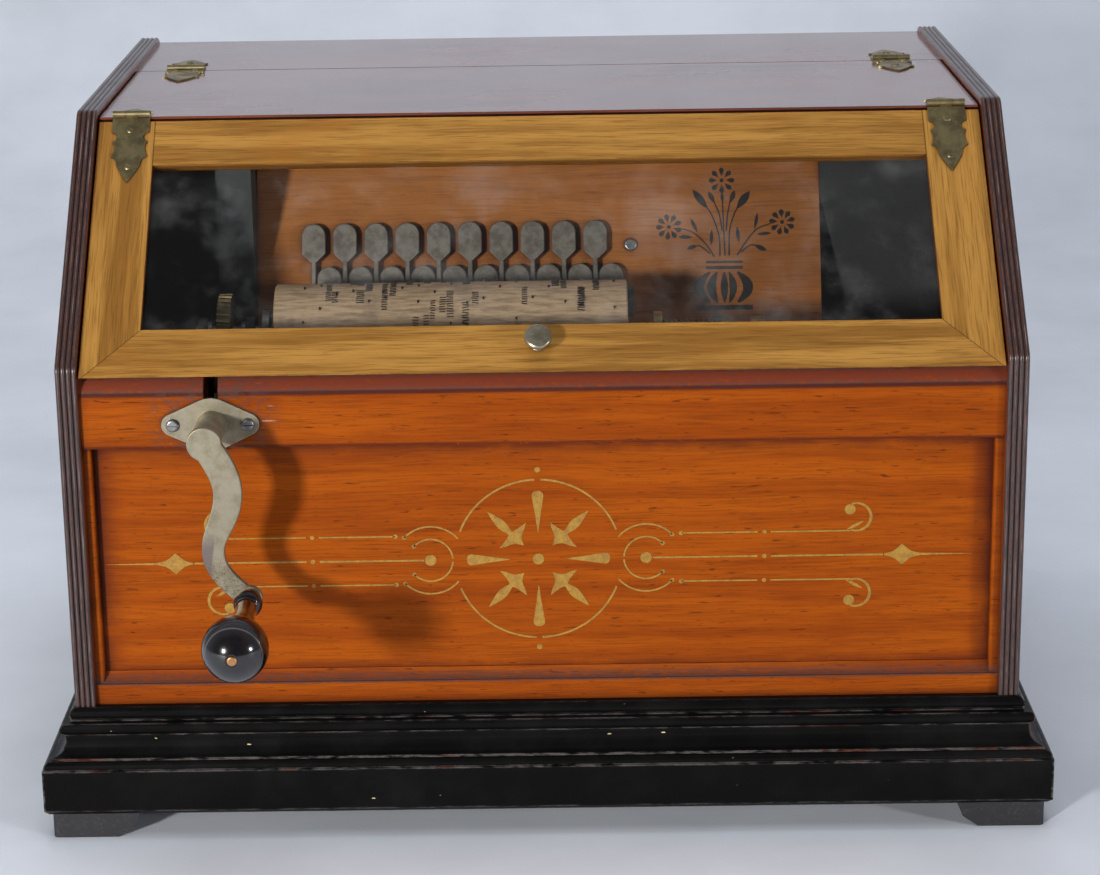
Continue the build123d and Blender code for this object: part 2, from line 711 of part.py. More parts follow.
WORM_LEAD = pi * GEAR_MODULE
WORM_TURNS = 6
WORM_ROOT = 4.2
WORM_TIP = 6.3
DISC_BACK = 172.0
CRANK_THROW = 9.0
CRANKPIN_RADIUS = 2.5

worm_start = COB_DISTANCE - WORM_TURNS / 2 * WORM_LEAD
worm_plane = Plane(
    origin=(CRANK_X, back(worm_start), up(CRANK_HEIGHT)), x_dir=(0, 0, 1), z_dir=(0, 1, 0)
)
# single-start right-hand worm thread, made upright and then laid along the shaft
with BuildPart() as thread:
    with BuildLine() as thread_line:
        Helix(pitch=WORM_LEAD, height=WORM_TURNS * WORM_LEAD, radius=WORM_ROOT)
    with BuildSketch(Plane.XZ):
        Polygon(
            (WORM_ROOT - 0.4, 0.75),
            (WORM_TIP, 0.35),
            (WORM_TIP, -0.35),
            (WORM_ROOT - 0.4, -0.75),
            align=None,
        )
    sweep(path=thread_line.line, is_frenet=True)
placed_thread = worm_plane.location * thread.part

with BuildPart() as crank_shaft:
    with BuildSketch(xz(ARM_BACK)):
        with Locations((CRANK_X, CRANK_HEIGHT)):
            Circle(SHAFT_RADIUS)
    extrude(amount=ARM_BACK - DISC_BACK)
    with BuildSketch(xz(worm_start - 2)):
        with Locations((CRANK_X, CRANK_HEIGHT)):
            Circle(WORM_ROOT)
    extrude(amount=-(WORM_TURNS * WORM_LEAD + 4))
    with BuildSketch(xz(DISC_BACK)):
        with Locations((CRANK_X, CRANK_HEIGHT)):
            Circle(12)
    extrude(amount=4)
    with BuildSketch(xz(DISC_BACK)):
        with Locations((CRANK_X, CRANK_HEIGHT - CRANK_THROW)):
            Circle(CRANKPIN_RADIUS)
    extrude(amount=-10)
    add(placed_thread)
finish("crank_shaft", crank_shaft.part)

HANDLE_OFFSET = (16.8, -71.1)  # from the shaft to the handle's rivet, with the crank hanging down
HANDLE_BORE = 1.8
arm_centre = Spline((0, 0), (6.9, -12), (9.4, -23), (4.6, -39), (1.8, -50), (8.0, -63), HANDLE_OFFSET)
ARM_HUB = 7.6
ARM_END = 5.8
# share of the way along and half width
ARM_TAPER = ((0, 6.2), (0.2, 6.4), (0.42, 6.1), (0.62, 5.0), (0.8, 4.5), (1, 4.5))


def arm_edge(side):
    """Points of one long edge of the crank arm, which narrows from its hub to the handle."""
    points = []
    for step in range(9):
        along = 0.04 + 0.92 * step / 8
        wider, narrower = next(pair for pair in zip(ARM_TAPER, ARM_TAPER[1:]) if along <= pair[1][0])
        share = (along - wider[0]) / (narrower[0] - wider[0])
        half_width = wider[1] + (narrower[1] - wider[1]) * share
        tangent = arm_centre % along
        place = arm_centre @ along
        points.append((place.X - side * tangent.Y * half_width, place.Y + side * tangent.X * half_width))
    return points


arm_plane = Plane(
    origin=(CRANK_X, back(ARM_BACK), up(CRANK_HEIGHT)), x_dir=(1, 0, 0), z_dir=(0, -1, 0)
)
left_edge = arm_edge(1)
right_edge = arm_edge(-1)
with BuildPart() as crank_arm:
    with BuildSketch(arm_plane):
        with BuildLine():
            Spline(*left_edge)
            Line(left_edge[-1], right_edge[-1])
            Spline(*right_edge)
            Line(left_edge[0], right_edge[0])
        make_face()
        Circle(ARM_HUB)
        with Locations(HANDLE_OFFSET):
            Circle(ARM_END)
    extrude(amount=ARM_THICKNESS)
    fillet(crank_arm.faces().sort_by(Axis.Y)[0].edges(), radius=0.5)
    with BuildSketch(arm_plane):
        Circle(BOSS_RADIUS)
    extrude(amount=ARM_BACK - BOSS_FRONT + 0.2)
    # the shaft's bore is blind, so the front of the arm is plain
    with BuildSketch(arm_plane):
        Circle(SHAFT_RADIUS)
    extrude(amount=ARM_BACK, mode=Mode.SUBTRACT)
    with BuildSketch(arm_plane):
        with Locations(HANDLE_OFFSET):
            Circle(HANDLE_BORE - BORE_CLEARANCE)
    extrude(amount=20, both=True, mode=Mode.SUBTRACT)
finish("crank_arm", crank_arm.part)

RIVET_STANDS = 0.2  # how far the rivet stands out of the ball
HANDLE_LENGTH = HANDLE_REACH + ARM_FRONT - RIVET_STANDS
BALL_RADIUS = 14.2
BALL_FLAT = 3.0  # radius of the small flat at the front of the ball, round the rivet
BALL_CENTRE = HANDLE_LENGTH - 0.3 - sqrt(BALL_RADIUS**2 - BALL_FLAT**2)
BALL_NECK = 8.9  # radius at which the neck runs into the ball
BALL_BACK = BALL_CENTRE - sqrt(BALL_RADIUS**2 - BALL_NECK**2)
handle_plane = Plane(
    origin=(CRANK_X + HANDLE_OFFSET[0], back(ARM_FRONT), up(CRANK_HEIGHT + HANDLE_OFFSET[1])),
    x_dir=(1, 0, 0),
    z_dir=(0, 0, -1),
)
handle_axis = Axis(handle_plane.origin, (0, -1, 0))
# sketch X is the radius and sketch Y runs back, so the handle points forward along -Y
with BuildPart() as crank_handle:
    with BuildSketch(Plane(handle_plane.origin, x_dir=(1, 0, 0), z_dir=(0, 0, 1))):
        with BuildLine():
            Polyline((HANDLE_BORE, -0.3), (4.6, -0.3), (4.6, -1.8))
            ThreePointArc((4.6, -1.8), (6.4, -5.4), (4.6, -9))
            Line((4.6, -9), (4.6, -10))
            ThreePointArc((4.6, -10), (5.2, -11), (4.6, -12))
            Spline((4.6, -12), (4.6, -20), (5.9, -33), (BALL_NECK, -BALL_BACK), tangents=[(0, -1), (0.7, -1)])
            ThreePointArc((BALL_NECK, -BALL_BACK), (BALL_RADIUS, -BALL_CENTRE), (BALL_FLAT, 0.3 - HANDLE_LENGTH))
            Polyline((BALL_FLAT, 0.3 - HANDLE_LENGTH), (2.5, 0.3 - HANDLE_LENGTH))
            Polyline((2.5, 0.3 - HANDLE_LENGTH), (2.5, 1.6 - HANDLE_LENGTH))
            Polyline((2.5, 1.6 - HANDLE_LENGTH), (HANDLE_BORE, 1.6 - HANDLE_LENGTH))
            Line((HANDLE_BORE, 1.6 - HANDLE_LENGTH), (HANDLE_BORE, -0.3))
        make_face()
    revolve(axis=handle_axis)
finish("crank_handle", crank_handle.part)

RIVET_RADIUS = HANDLE_BORE - BORE_CLEARANCE
RIVET_HEAD = 0.9
rivet_plane = Plane(handle_plane.origin, x_dir=(1, 0, 0), z_dir=(0, -1, 0))
with BuildPart() as handle_rivet:
    with BuildSketch(rivet_plane.offset(-ARM_THICKNESS - RIVET_HEAD)):
        Circle(2.8)
    extrude(amount=RIVET_HEAD)
    with BuildSketch(rivet_plane.offset(-ARM_THICKNESS)):
        Circle(RIVET_RADIUS)
    extrude(amount=ARM_THICKNESS + HANDLE_LENGTH)
    with BuildSketch(rivet_plane.offset(HANDLE_LENGTH - 1.4)):
        Circle(2.3)
    extrude(amount=1.4 + RIVET_STANDS)
    fillet(handle_rivet.faces().sort_by(Axis.Y)[0].edges(), radius=0.9)
    chamfer(handle_rivet.faces().sort_by(Axis.Y)[-1].edges(), length=0.6)
finish("handle_rivet", handle_rivet.part)

# ---------------------------------------------------------------- arbor, gear and cob
GEAR_WIDTH = 6.0
GEAR_TIP = GEAR_MODULE * (GEAR_TEETH / 2 + 1)
GEAR_ROOT = GEAR_TIP - 2.2
DRIVER_LEFT = -129.0
DRIVER_PIN = 7.0  # distance of the driving pin from the arbor's axis
SOCKET_DEPTH = 22.0


def axial(left, radius, length, offset=0.0):
    """A round bar along X on the cob's axis, or this far above it."""
    with BuildPart() as bar:
        with BuildSketch(yz(left)):
            with Locations((COB_DISTANCE, COB_HEIGHT + offset)):
                Circle(radius)
        extrude(amount=length)
    return bar.part


with BuildPart() as drive_arbor:
    add(axial(EAR_LEFT - 1.5, ARBOR_RADIUS, COB_LEFT + 16 - EAR_LEFT + 1.5))
    add(axial(DRIVER_LEFT, 10, 3))
    add(axial(DRIVER_LEFT, 1.2, COB_LEFT + 9 - DRIVER_LEFT, DRIVER_PIN))
    # collars that keep the arbor between the ears
    add(axial(EAR_LEFT + EAR + 0.3, 5, 2))
    add(axial(EAR_RIGHT - 2.3, 5, 2))
finish("drive_arbor", drive_arbor.part)

gear_plane = Plane(
    origin=(CRANK_X - GEAR_WIDTH / 2, back(COB_DISTANCE), up(COB_HEIGHT)),
    x_dir=(0, 0, -1),
    z_dir=(1, 0, 0),
)
lead_angle = atan(GEAR_MODULE / (2 * (COB_HEIGHT - CRANK_HEIGHT - GEAR_MODULE * GEAR_TEETH / 2)))
# one tooth gap, tilted by the worm's lead angle; local X points from the axis to the worm
with BuildPart() as tooth_gap:
    with BuildSketch(
        Plane(origin=(0, 0, GEAR_WIDTH / 2), x_dir=(1, 0, 0), z_dir=(0, sin(lead_angle), cos(lead_angle)))
    ):
        Polygon(
            (GEAR_ROOT, -0.5),
            (GEAR_TIP + 0.4, -1.45),
            (GEAR_TIP + 0.4, 1.45),
            (GEAR_ROOT, 0.5),
            align=None,
        )
    extrude(amount=GEAR_WIDTH, both=True)
with BuildPart(gear_plane) as cob_gear:
    Cylinder(GEAR_TIP, GEAR_WIDTH, align=(Align.CENTER, Align.CENTER, Align.MIN))
    with PolarLocations(0, GEAR_TEETH):
        add(tooth_gap.part, mode=Mode.SUBTRACT)
    # web thinned on both sides, and the bore
    with Locations((0, 0, 0), (0, 0, GEAR_WIDTH - 1.5)):
        Cylinder(13, 1.5, align=(Align.CENTER, Align.CENTER, Align.MIN), mode=Mode.SUBTRACT)
    Cylinder(6, GEAR_WIDTH, align=(Align.CENTER, Align.CENTER, Align.MIN))
    Cylinder(
        ARBOR_RADIUS, GEAR_WIDTH, align=(Align.CENTER, Align.CENTER, Align.MIN), mode=Mode.SUBTRACT
    )
finish("cob_gear", cob_gear.part)

with BuildPart() as cob:
    add(axial(COB_LEFT, COB_RADIUS, COB_RIGHT - COB_LEFT))
    chamfer(cob.edges().filter_by(GeomType.CIRCLE), length=0.6)
    add(axial(COB_LEFT, ARBOR_RADIUS + BORE_CLEARANCE, SOCKET_DEPTH), mode=Mode.SUBTRACT)
    add(axial(COB_LEFT, 1.25, 14, DRIVER_PIN), mode=Mode.SUBTRACT)
    add(
        axial(COB_RIGHT - SOCKET_DEPTH, SPINDLE_RADIUS + BORE_CLEARANCE, SOCKET_DEPTH),
        mode=Mode.SUBTRACT,
    )
finish("cob", cob.part)

PIN_RADIUS = 0.5
PIN_STANDS = 1.0
PIN_DRIVEN = 2.0
PINS_PER_NOTE = 7
GOLDEN_ANGLE = 137.508
cob_pins = []
for note, x in enumerate(key_x):
    for count in range(PINS_PER_NOTE):
        angle = radians(GOLDEN_ANGLE * note + 360 * count / PINS_PER_NOTE + 11 * sin(2.3 * note * count))
        outward = Vector(0, cos(angle), sin(angle))
        base = Vector(x, back(COB_DISTANCE), up(COB_HEIGHT)) + outward * (COB_RADIUS - PIN_DRIVEN)
        with BuildPart() as pin:
            with BuildSketch(Plane(base, z_dir=outward)):
                Circle(PIN_RADIUS)
            extrude(amount=PIN_STANDS + PIN_DRIVEN)
        cob_pins.append(pin.part)
group("cob_pins", cob_pins)

SPINDLE_TIP = COB_RIGHT - 10
COLLAR = 52.0
COLLAR_RADIUS = 7.0
SPINDLE_END = 97.0
with BuildPart() as tail_spindle:
    add(axial(SPINDLE_TIP, SPINDLE_RADIUS, SPINDLE_END - SPINDLE_TIP))
    add(axial(COLLAR, COLLAR_RADIUS, 4))
    add(axial(SPINDLE_END, 4.2, 8))
    fillet(tail_spindle.faces().sort_by(Axis.X)[-1].edges(), radius=2)
finish("tail_spindle", tail_spindle.part)

SPRING_TURNS = 9
spring_length = TAIL_EAR - COLLAR - 4 - 1.2
spring_plane = Plane(
    origin=(COLLAR + 4.6, back(COB_DISTANCE), up(COB_HEIGHT)), x_dir=(0, 0, 1), z_dir=(1, 0, 0)
)
with BuildPart() as tail_spring:
    with BuildLine() as coil:
        Helix(pitch=spring_length / SPRING_TURNS, height=spring_length, radius=2.9)
    with BuildSketch(Plane(coil.line @ 0, z_dir=coil.line % 0)):
        Circle(0.4)
    sweep(path=coil.line, is_frenet=True)
finish("tail_spring", spring_plane.location * tail_spring.part)

# ---------------------------------------------------------------- lid and glass door
DOOR_RECESS = 3.0
DOOR_TOP = 132.6
LID_BEVEL = 134.0  # where the lid's front edge meets the slope, measured up the slope
DOOR_HALF_WIDTH = INNER_X - 1.0
STILE = 26.0
RAIL_LOW = 21.0
RAIL_HIGH = 108.3
DOOR_THICKNESS = 14.0
DOOR_CUT = 155.2
GLASS_THICKNESS = 2.5
GLASS_DEPTH = 3.0
REBATE = 6.0
SLOPE = sqrt(0.5)


def on_slope(climb, depth):
    """Back and up of a point this far up the slope and this far under the door's face."""
    return (SLOPE * (climb + DOOR_RECESS + depth), FRONT_HEIGHT + SLOPE * (climb - DOOR_RECESS - depth))


def door_plane(depth=0.0):
    """The door's face: sketch X runs right, sketch Y up the slope."""
    distance, height = on_slope(0, depth)
    return Plane(
        origin=(0, back(distance), up(height)), x_dir=(1, 0, 0), z_dir=(0, -SLOPE, SLOPE)
    )


with BuildPart() as lid_board:
    with BuildSketch(yz(-DOOR_HALF_WIDTH)):
        crease_back = TOP_HEIGHT - on_slope(0, 0.1)[1] + on_slope(0, 0.1)[0]
        bevel_sum = FRONT_HEIGHT + LID_BEVEL / SLOPE
        nose = on_slope(LID_BEVEL, 0.1)
        Polygon(
            (crease_back, TOP_HEIGHT),
            (SEAM - 0.5, TOP_HEIGHT),
            (SEAM - 0.5, TOP_HEIGHT - TOP_THICKNESS),
            (bevel_sum - TOP_HEIGHT + TOP_THICKNESS, TOP_HEIGHT - TOP_THICKNESS),
            nose,
            align=None,
        )
    extrude(amount=2 * DOOR_HALF_WIDTH)
finish("lid_board", lid_board.part)


def door_member(*corners):
    """One rail or stile of the door, rebated behind for the glass and trimmed level at the bottom."""
    with BuildPart() as member:
        with BuildSketch(door_plane()):
            Polygon(*corners, align=None)
        extrude(amount=-DOOR_THICKNESS)
        with BuildSketch(door_plane(GLASS_DEPTH)):
            with Locations((0, (RAIL_LOW + RAIL_HIGH) / 2)):
                Rectangle(
                    2 * (DOOR_HALF_WIDTH - STILE + REBATE), RAIL_HIGH - RAIL_LOW + 2 * REBATE
                )
        extrude(amount=-DOOR_THICKNESS, mode=Mode.SUBTRACT)
        split(bisect_by=Plane.XY.offset(up(DOOR_CUT)), keep=Keep.TOP)
    return member.part


outer = DOOR_HALF_WIDTH
inner = DOOR_HALF_WIDTH - STILE
DOOR_BOTTOM = -4.0
group(
    "glass_frame",
    [
        door_member((-outer, DOOR_BOTTOM), (outer, DOOR_BOTTOM), (inner, RAIL_LOW), (-inner, RAIL_LOW)),
        door_member((-inner, RAIL_HIGH), (inner, RAIL_HIGH), (inner, DOOR_TOP), (-inner, DOOR_TOP)),
        door_member((-outer, DOOR_BOTTOM), (-inner, RAIL_LOW), (-inner, DOOR_TOP), (-outer, DOOR_TOP)),
        door_member((outer, DOOR_BOTTOM), (outer, DOOR_TOP), (inner, DOOR_TOP), (inner, RAIL_LOW)),
    ],
)

GLASS_GAP = 0.5
with BuildPart() as glass_pane:
    with BuildSketch(door_plane(GLASS_DEPTH)):
        with Locations((0, (RAIL_LOW + RAIL_HIGH) / 2)):
            Rectangle(
                2 * (inner + REBATE - GLASS_GAP), RAIL_HIGH - RAIL_LOW + 2 * (REBATE - GLASS_GAP)
            )
    extrude(amount=-GLASS_THICKNESS)
finish("glass_pane", glass_pane.part)

KNOB_X = -1.4
KNOB_CLIMB = 11.0
KNOB_RADIUS = 6.1
KNOB_HEIGHT = 8.2
KNOB_CORE = 1.0
with BuildPart() as door_knob:
    with BuildSketch(Plane.XZ):
        with BuildLine():
            Polyline((KNOB_CORE, 0), (3.6, 0), (3.6, 0.8), (2.4, 1.6), (2.4, 4.2))
            ThreePointArc((2.4, 4.2), (5.6, 5), (KNOB_RADIUS, 6.8))
            ThreePointArc((KNOB_RADIUS, 6.8), (5.8, 7.6), (5.1, 8))
            Polyline((5.1, 8), (4.6, 7.9), (KNOB_CORE, KNOB_HEIGHT))
            Polyline((KNOB_CORE, KNOB_HEIGHT), (KNOB_CORE, 0))
        make_face()
    revolve(axis=Axis.Z)
    Cylinder(KNOB_CORE, KNOB_HEIGHT, align=(Align.CENTER, Align.CENTER, Align.MIN))
finish("door_knob", door_plane().location * Pos(KNOB_X, KNOB_CLIMB, 0) * door_knob.part)

# ---------------------------------------------------------------- hinges
KNUCKLE_RADIUS = 1.5
KNUCKLE_STANDOFF = 1.6  # from the board's face to the hinge's axis
HINGE_PIN = 0.7
HINGE_BORE = 0.75
LEAF_THICKNESS = 0.8
KNUCKLE_GAP = 0.15

HINGE_HEIGHT = TOP_HEIGHT + KNUCKLE_STANDOFF
# the door's hinge stands off from the lid's top and from the door's face alike
DOOR_HINGE = (
    HINGE_HEIGHT - FRONT_HEIGHT + 2 * SLOPE * DOOR_RECESS - KNUCKLE_STANDOFF / SLOPE,
    HINGE_HEIGHT,
)
LID_HINGE = (SEAM, HINGE_HEIGHT)
DOOR_HINGE_X = 188.6
DOOR_HINGE_WIDTH = 17.2
LID_HINGE_X = 179.0
LID_HINGE_WIDTH = 18.8


def hinge_leaf(centre_x, width, length, pivot, away, outer_knuckles, bore):
    """An ornamental leaf lying on a board, with two outer knuckles or one middle knuckle.

    pivot is the hinge axis (back, up); away is the unit direction (back, up) along the board's face.
    """
    turn = 1 if away[0] > 0 else -1
    normal = Vector(0, -turn * away[1], turn * away[0])
    foot = Vector(centre_x, back(pivot[0]), up(pivot[1])) - normal * KNUCKLE_STANDOFF
    face = Plane(foot, x_dir=(turn, 0, 0), z_dir=normal)
    third = width / 3
    edge = width / 2
    if outer_knuckles:
        spans = [(-edge, -third / 2), (third / 2, edge)]
        gaps = [(-third / 2 - KNUCKLE_GAP, third / 2 + KNUCKLE_GAP)]
    else:
        spans = [(-third / 2 + KNUCKLE_GAP, third / 2 - KNUCKLE_GAP)]
        gaps = [(-edge - 1, -third / 2 + KNUCKLE_GAP), (third / 2 - KNUCKLE_GAP, edge + 1)]
    barrel = Plane(foot + normal * KNUCKLE_STANDOFF, x_dir=normal, z_dir=(1, 0, 0))
    with BuildPart() as leaf:
        with BuildSketch(face):
            with BuildLine():
                Polyline((0, 0), (edge, 0), (edge, 0.26 * length))
                ThreePointArc(
                    (edge, 0.26 * length),
                    (edge - 0.15 * width, 0.33 * length),
                    (edge - 0.03 * width, 0.40 * length),
                )
                ThreePointArc(
                    (edge - 0.03 * width, 0.40 * length),
                    (edge - 0.09 * width, 0.51 * length),
                    (edge - 0.01 * width, 0.62 * length),
                )
                ThreePointArc(
                    (edge - 0.01 * width, 0.62 * length),
                    (edge - 0.14 * width, 0.66 * length),
                    (edge - 0.18 * width, 0.74 * length),
                )
                ThreePointArc(
                    (edge - 0.18 * width, 0.74 * length), (0.19 * width, 0.86 * length), (0, length)
                )
                mirror(about=Plane.YZ)
            make_face()
        extrude(amount=LEAF_THICKNESS)
        with BuildSketch(face):
            for start, end in gaps:
                with Locations(((start + end) / 2, 0)):
                    Rectangle(end - start, 2 * (KNUCKLE_RADIUS + 0.5))
        extrude(amount=LEAF_THICKNESS, mode=Mode.SUBTRACT)
        for start, end in spans:
            with BuildSketch(barrel.offset(start)):
                Circle(KNUCKLE_RADIUS)
            extrude(amount=end - start)
        with BuildSketch(barrel.offset(-width)):
            Circle(bore)
        extrude(amount=2 * width, mode=Mode.SUBTRACT)
    return leaf.part


def hinge_pin(centre_x, width, pivot):
    """A hinge pin with its ends flush with the knuckles."""
    with BuildPart() as pin:
        with BuildSketch(yz(centre_x - width / 2)):
            with Locations(pivot):
                Circle(HINGE_PIN)
        extrude(amount=width)
    return pin.part


down_slope = (-SLOPE, -SLOPE)
forward = (-1, 0)
rearward = (1, 0)
strip_pieces = []
lid_pieces = []
door_pieces = []
for side in (-1, 1):
    lid_place = side * LID_HINGE_X
    door_place = side * DOOR_HINGE_X
    strip_pieces += [
        hinge_leaf(lid_place, LID_HINGE_WIDTH, 29, LID_HINGE, rearward, False, HINGE_PIN),
        hinge_pin(lid_place, LID_HINGE_WIDTH, LID_HINGE),
    ]
    lid_pieces += [
        hinge_leaf(lid_place, LID_HINGE_WIDTH, 33, LID_HINGE, forward, True, HINGE_BORE),
        hinge_leaf(door_place, DOOR_HINGE_WIDTH, 17, DOOR_HINGE, rearward, True, HINGE_PIN),
        hinge_pin(door_place, DOOR_HINGE_WIDTH, DOOR_HINGE),
    ]
    door_pieces.append(
        hinge_leaf(door_place, DOOR_HINGE_WIDTH, 37, DOOR_HINGE, down_slope, False, HINGE_BORE)
    )
group("strip_hinge_leaves", strip_pieces)
group("lid_hinge_leaves", lid_pieces)
group("door_hinge_leaves", door_pieces)

# ---------------------------------------------------------------- bellows under the deck
DECK_UNDERSIDE = DECK_HEIGHT - DECK_THICKNESS
BELLOWS_FRONT = 140.0
BELLOWS_BACK = 300.0
BELLOWS_BOARD = 8.0
CLOTH = 1.5
FEEDER_HINGE = 20.0
FEEDER_LENGTH = 145.0
FEEDER_ANGLE = 10.0  # how far the feeder hangs open with the crank at rest
LUG_THICKNESS = 6.0
ROD_THICKNESS = 4.0
ROD_EYE = 5.0
lean_cos = cos(radians(FEEDER_ANGLE))
lean_sin = sin(radians(FEEDER_ANGLE))


def on_feeder(along, below=0.0):
    """X and height of a point this far along the feeder from its hinge, and this far under its top."""
    return (
        FEEDER_HINGE - along * lean_cos + below * lean_sin,
        DECK_UNDERSIDE - along * lean_sin - below * lean_cos,
    )


lug_along = (FEEDER_HINGE - CRANK_X + BELLOWS_BOARD / 2 * lean_sin) / lean_cos
lug_x, lug_height = on_feeder(lug_along, BELLOWS_BOARD / 2)
lug_front = ROD_DISTANCE + ROD_THICKNESS / 2 + 1

with BuildPart() as feeder_board:
    with BuildSketch(xz(BELLOWS_BACK)):
        Polygon(
            on_feeder(1.5),
            on_feeder(FEEDER_LENGTH),
            on_feeder(FEEDER_LENGTH, BELLOWS_BOARD),
            on_feeder(1.5, BELLOWS_BOARD),
            align=None,
        )
    extrude(amount=BELLOWS_BACK - BELLOWS_FRONT)
    with BuildSketch(xz(lug_front + LUG_THICKNESS)):
        Polygon(
            on_feeder(FEEDER_LENGTH - 5),
            on_feeder(lug_along),
            on_feeder(lug_along, BELLOWS_BOARD),
            on_feeder(FEEDER_LENGTH - 5, BELLOWS_BOARD),
            align=None,
        )
        with Locations((lug_x, lug_height)):
            Circle(BELLOWS_BOARD / 2)
            Circle(2, mode=Mode.SUBTRACT)
    extrude(amount=LUG_THICKNESS)
finish("feeder_board", feeder_board.part)

with BuildPart() as feeder_cloth:
    with BuildSketch(xz(BELLOWS_BACK - 2)):
        Polygon(
            on_feeder(10),
            on_feeder(FEEDER_LENGTH - 2),
            (on_feeder(FEEDER_LENGTH - 2)[0], DECK_UNDERSIDE),
            (on_feeder(10)[0], DECK_UNDERSIDE),
            align=None,
        )
    extrude(amount=BELLOWS_BACK - BELLOWS_FRONT - 4)
    with BuildSketch(xy(DECK_UNDERSIDE - 40)):
        inside_left = on_feeder(FEEDER_LENGTH - 2)[0] + CLOTH
        inside_right = on_feeder(10)[0] - CLOTH
        with Locations(((inside_left + inside_right) / 2, (BELLOWS_FRONT + BELLOWS_BACK) / 2)):
            Rectangle(inside_right - inside_left, BELLOWS_BACK - BELLOWS_FRONT - 4 - 2 * CLOTH)
    extrude(amount=40, mode=Mode.SUBTRACT)
finish("feeder_cloth", feeder_cloth.part)

with BuildPart() as connecting_rod:
    with BuildSketch(xz(ROD_DISTANCE + ROD_THICKNESS / 2)):
        crankpin_height = CRANK_HEIGHT - CRANK_THROW
        with Locations((CRANK_X, crankpin_height)):
            Circle(6)
        with Locations((CRANK_X, lug_height)):
            Circle(ROD_EYE)
        with Locations((CRANK_X, (crankpin_height + lug_height) / 2)):
            Rectangle(7, crankpin_height - lug_height)
        with Locations((CRANK_X, crankpin_height)):
            Circle(CRANKPIN_RADIUS + BORE_CLEARANCE, mode=Mode.SUBTRACT)
        with Locations((CRANK_X, lug_height)):
            Circle(2, mode=Mode.SUBTRACT)
    extrude(amount=ROD_THICKNESS)
finish("connecting_rod", connecting_rod.part)

RESERVOIR_LEFT = 40.0
RESERVOIR_RIGHT = 190.0
RESERVOIR_DEPTH = 30.0  # how far the reservoir's board hangs under the deck
reservoir_middle = ((RESERVOIR_LEFT + RESERVOIR_RIGHT) / 2, (BELLOWS_FRONT + BELLOWS_BACK) / 2)
reservoir_size = (RESERVOIR_RIGHT - RESERVOIR_LEFT, BELLOWS_BACK - BELLOWS_FRONT)

with BuildPart() as reservoir_board:
    with BuildSketch(xy(DECK_UNDERSIDE - RESERVOIR_DEPTH)):
        with Locations(reservoir_middle):
            Rectangle(*reservoir_size)
    extrude(amount=-BELLOWS_BOARD)
finish("reservoir_board", reservoir_board.part)

with BuildPart() as reservoir_cloth:
    with BuildSketch(xy(DECK_UNDERSIDE)):
        with Locations(reservoir_middle):
            Rectangle(reservoir_size[0] - 4, reservoir_size[1] - 4)
            Rectangle(
                reservoir_size[0] - 4 - 2 * CLOTH, reservoir_size[1] - 4 - 2 * CLOTH, mode=Mode.SUBTRACT
            )
    extrude(amount=-RESERVOIR_DEPTH)
finish("reservoir_cloth", reservoir_cloth.part)
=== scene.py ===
"""Looks for the hand-cranked table roller organ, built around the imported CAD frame.

Places are given as place(x, back, up): mm to the right of the middle, mm behind the front edges of
the case's sides and mm above the top of the base. The frame gives those edges and that height.
"""
import json
import math
import random

import bmesh
import bpy
from mathutils import Matrix, Vector


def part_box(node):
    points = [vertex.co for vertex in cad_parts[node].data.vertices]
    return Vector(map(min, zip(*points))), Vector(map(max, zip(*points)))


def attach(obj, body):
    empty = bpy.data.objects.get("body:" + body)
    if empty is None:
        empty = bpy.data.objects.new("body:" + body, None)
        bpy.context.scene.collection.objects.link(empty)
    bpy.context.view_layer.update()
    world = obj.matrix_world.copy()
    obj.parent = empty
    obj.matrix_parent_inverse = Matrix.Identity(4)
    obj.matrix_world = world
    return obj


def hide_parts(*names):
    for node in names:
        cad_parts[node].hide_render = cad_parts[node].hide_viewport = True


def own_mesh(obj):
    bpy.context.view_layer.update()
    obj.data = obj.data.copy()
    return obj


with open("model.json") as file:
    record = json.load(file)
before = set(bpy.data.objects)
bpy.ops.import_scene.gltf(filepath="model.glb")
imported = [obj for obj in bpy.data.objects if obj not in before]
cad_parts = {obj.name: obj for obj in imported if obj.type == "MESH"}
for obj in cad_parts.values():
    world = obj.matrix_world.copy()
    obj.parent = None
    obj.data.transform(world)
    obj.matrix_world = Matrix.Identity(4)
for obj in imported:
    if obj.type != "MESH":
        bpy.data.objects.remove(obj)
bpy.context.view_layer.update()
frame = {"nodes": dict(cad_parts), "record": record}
random.seed(11)

# ---------------------------------------------------------------- the frame's own places
MM = 0.001
SIDE_LOW, SIDE_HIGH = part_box("side_board_left")
FRONT = SIDE_LOW.y
BASE_TOP = SIDE_LOW.z
INNER_X = -SIDE_HIGH.x / MM
PANEL_FACE = (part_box("front_panel")[0].y - FRONT) / MM
KEYS = [f"key_{index:02d}" for index in range(1, 21)]

FRONT_HEIGHT = 159.5
DOOR_RECESS = 3.0
DOOR_HALF_WIDTH = 203.5
STILE = 26.0
RAIL_LOW = 21.0
BOARD_LEAN = math.radians(20)
BOARD_ORIGIN = (115.0, 150.0)
HANDLE_X, HANDLE_UP = -129.4, 61.5
COB_AXIS = (75.0, 155.0)
COB_RADIUS = 22.0


def place(x, back, up):
    """A point in metres from millimetres right, behind the front edges and above the base."""
    return Vector((x * MM, FRONT + back * MM, BASE_TOP + up * MM))


def on_board(x, climb, rise):
    """A point on the pallet board: mm right, up the board and in front of its face."""
    return place(
        x,
        BOARD_ORIGIN[0] + climb * math.sin(BOARD_LEAN) - rise * math.cos(BOARD_LEAN),
        BOARD_ORIGIN[1] + climb * math.cos(BOARD_LEAN) + rise * math.sin(BOARD_LEAN),
    )


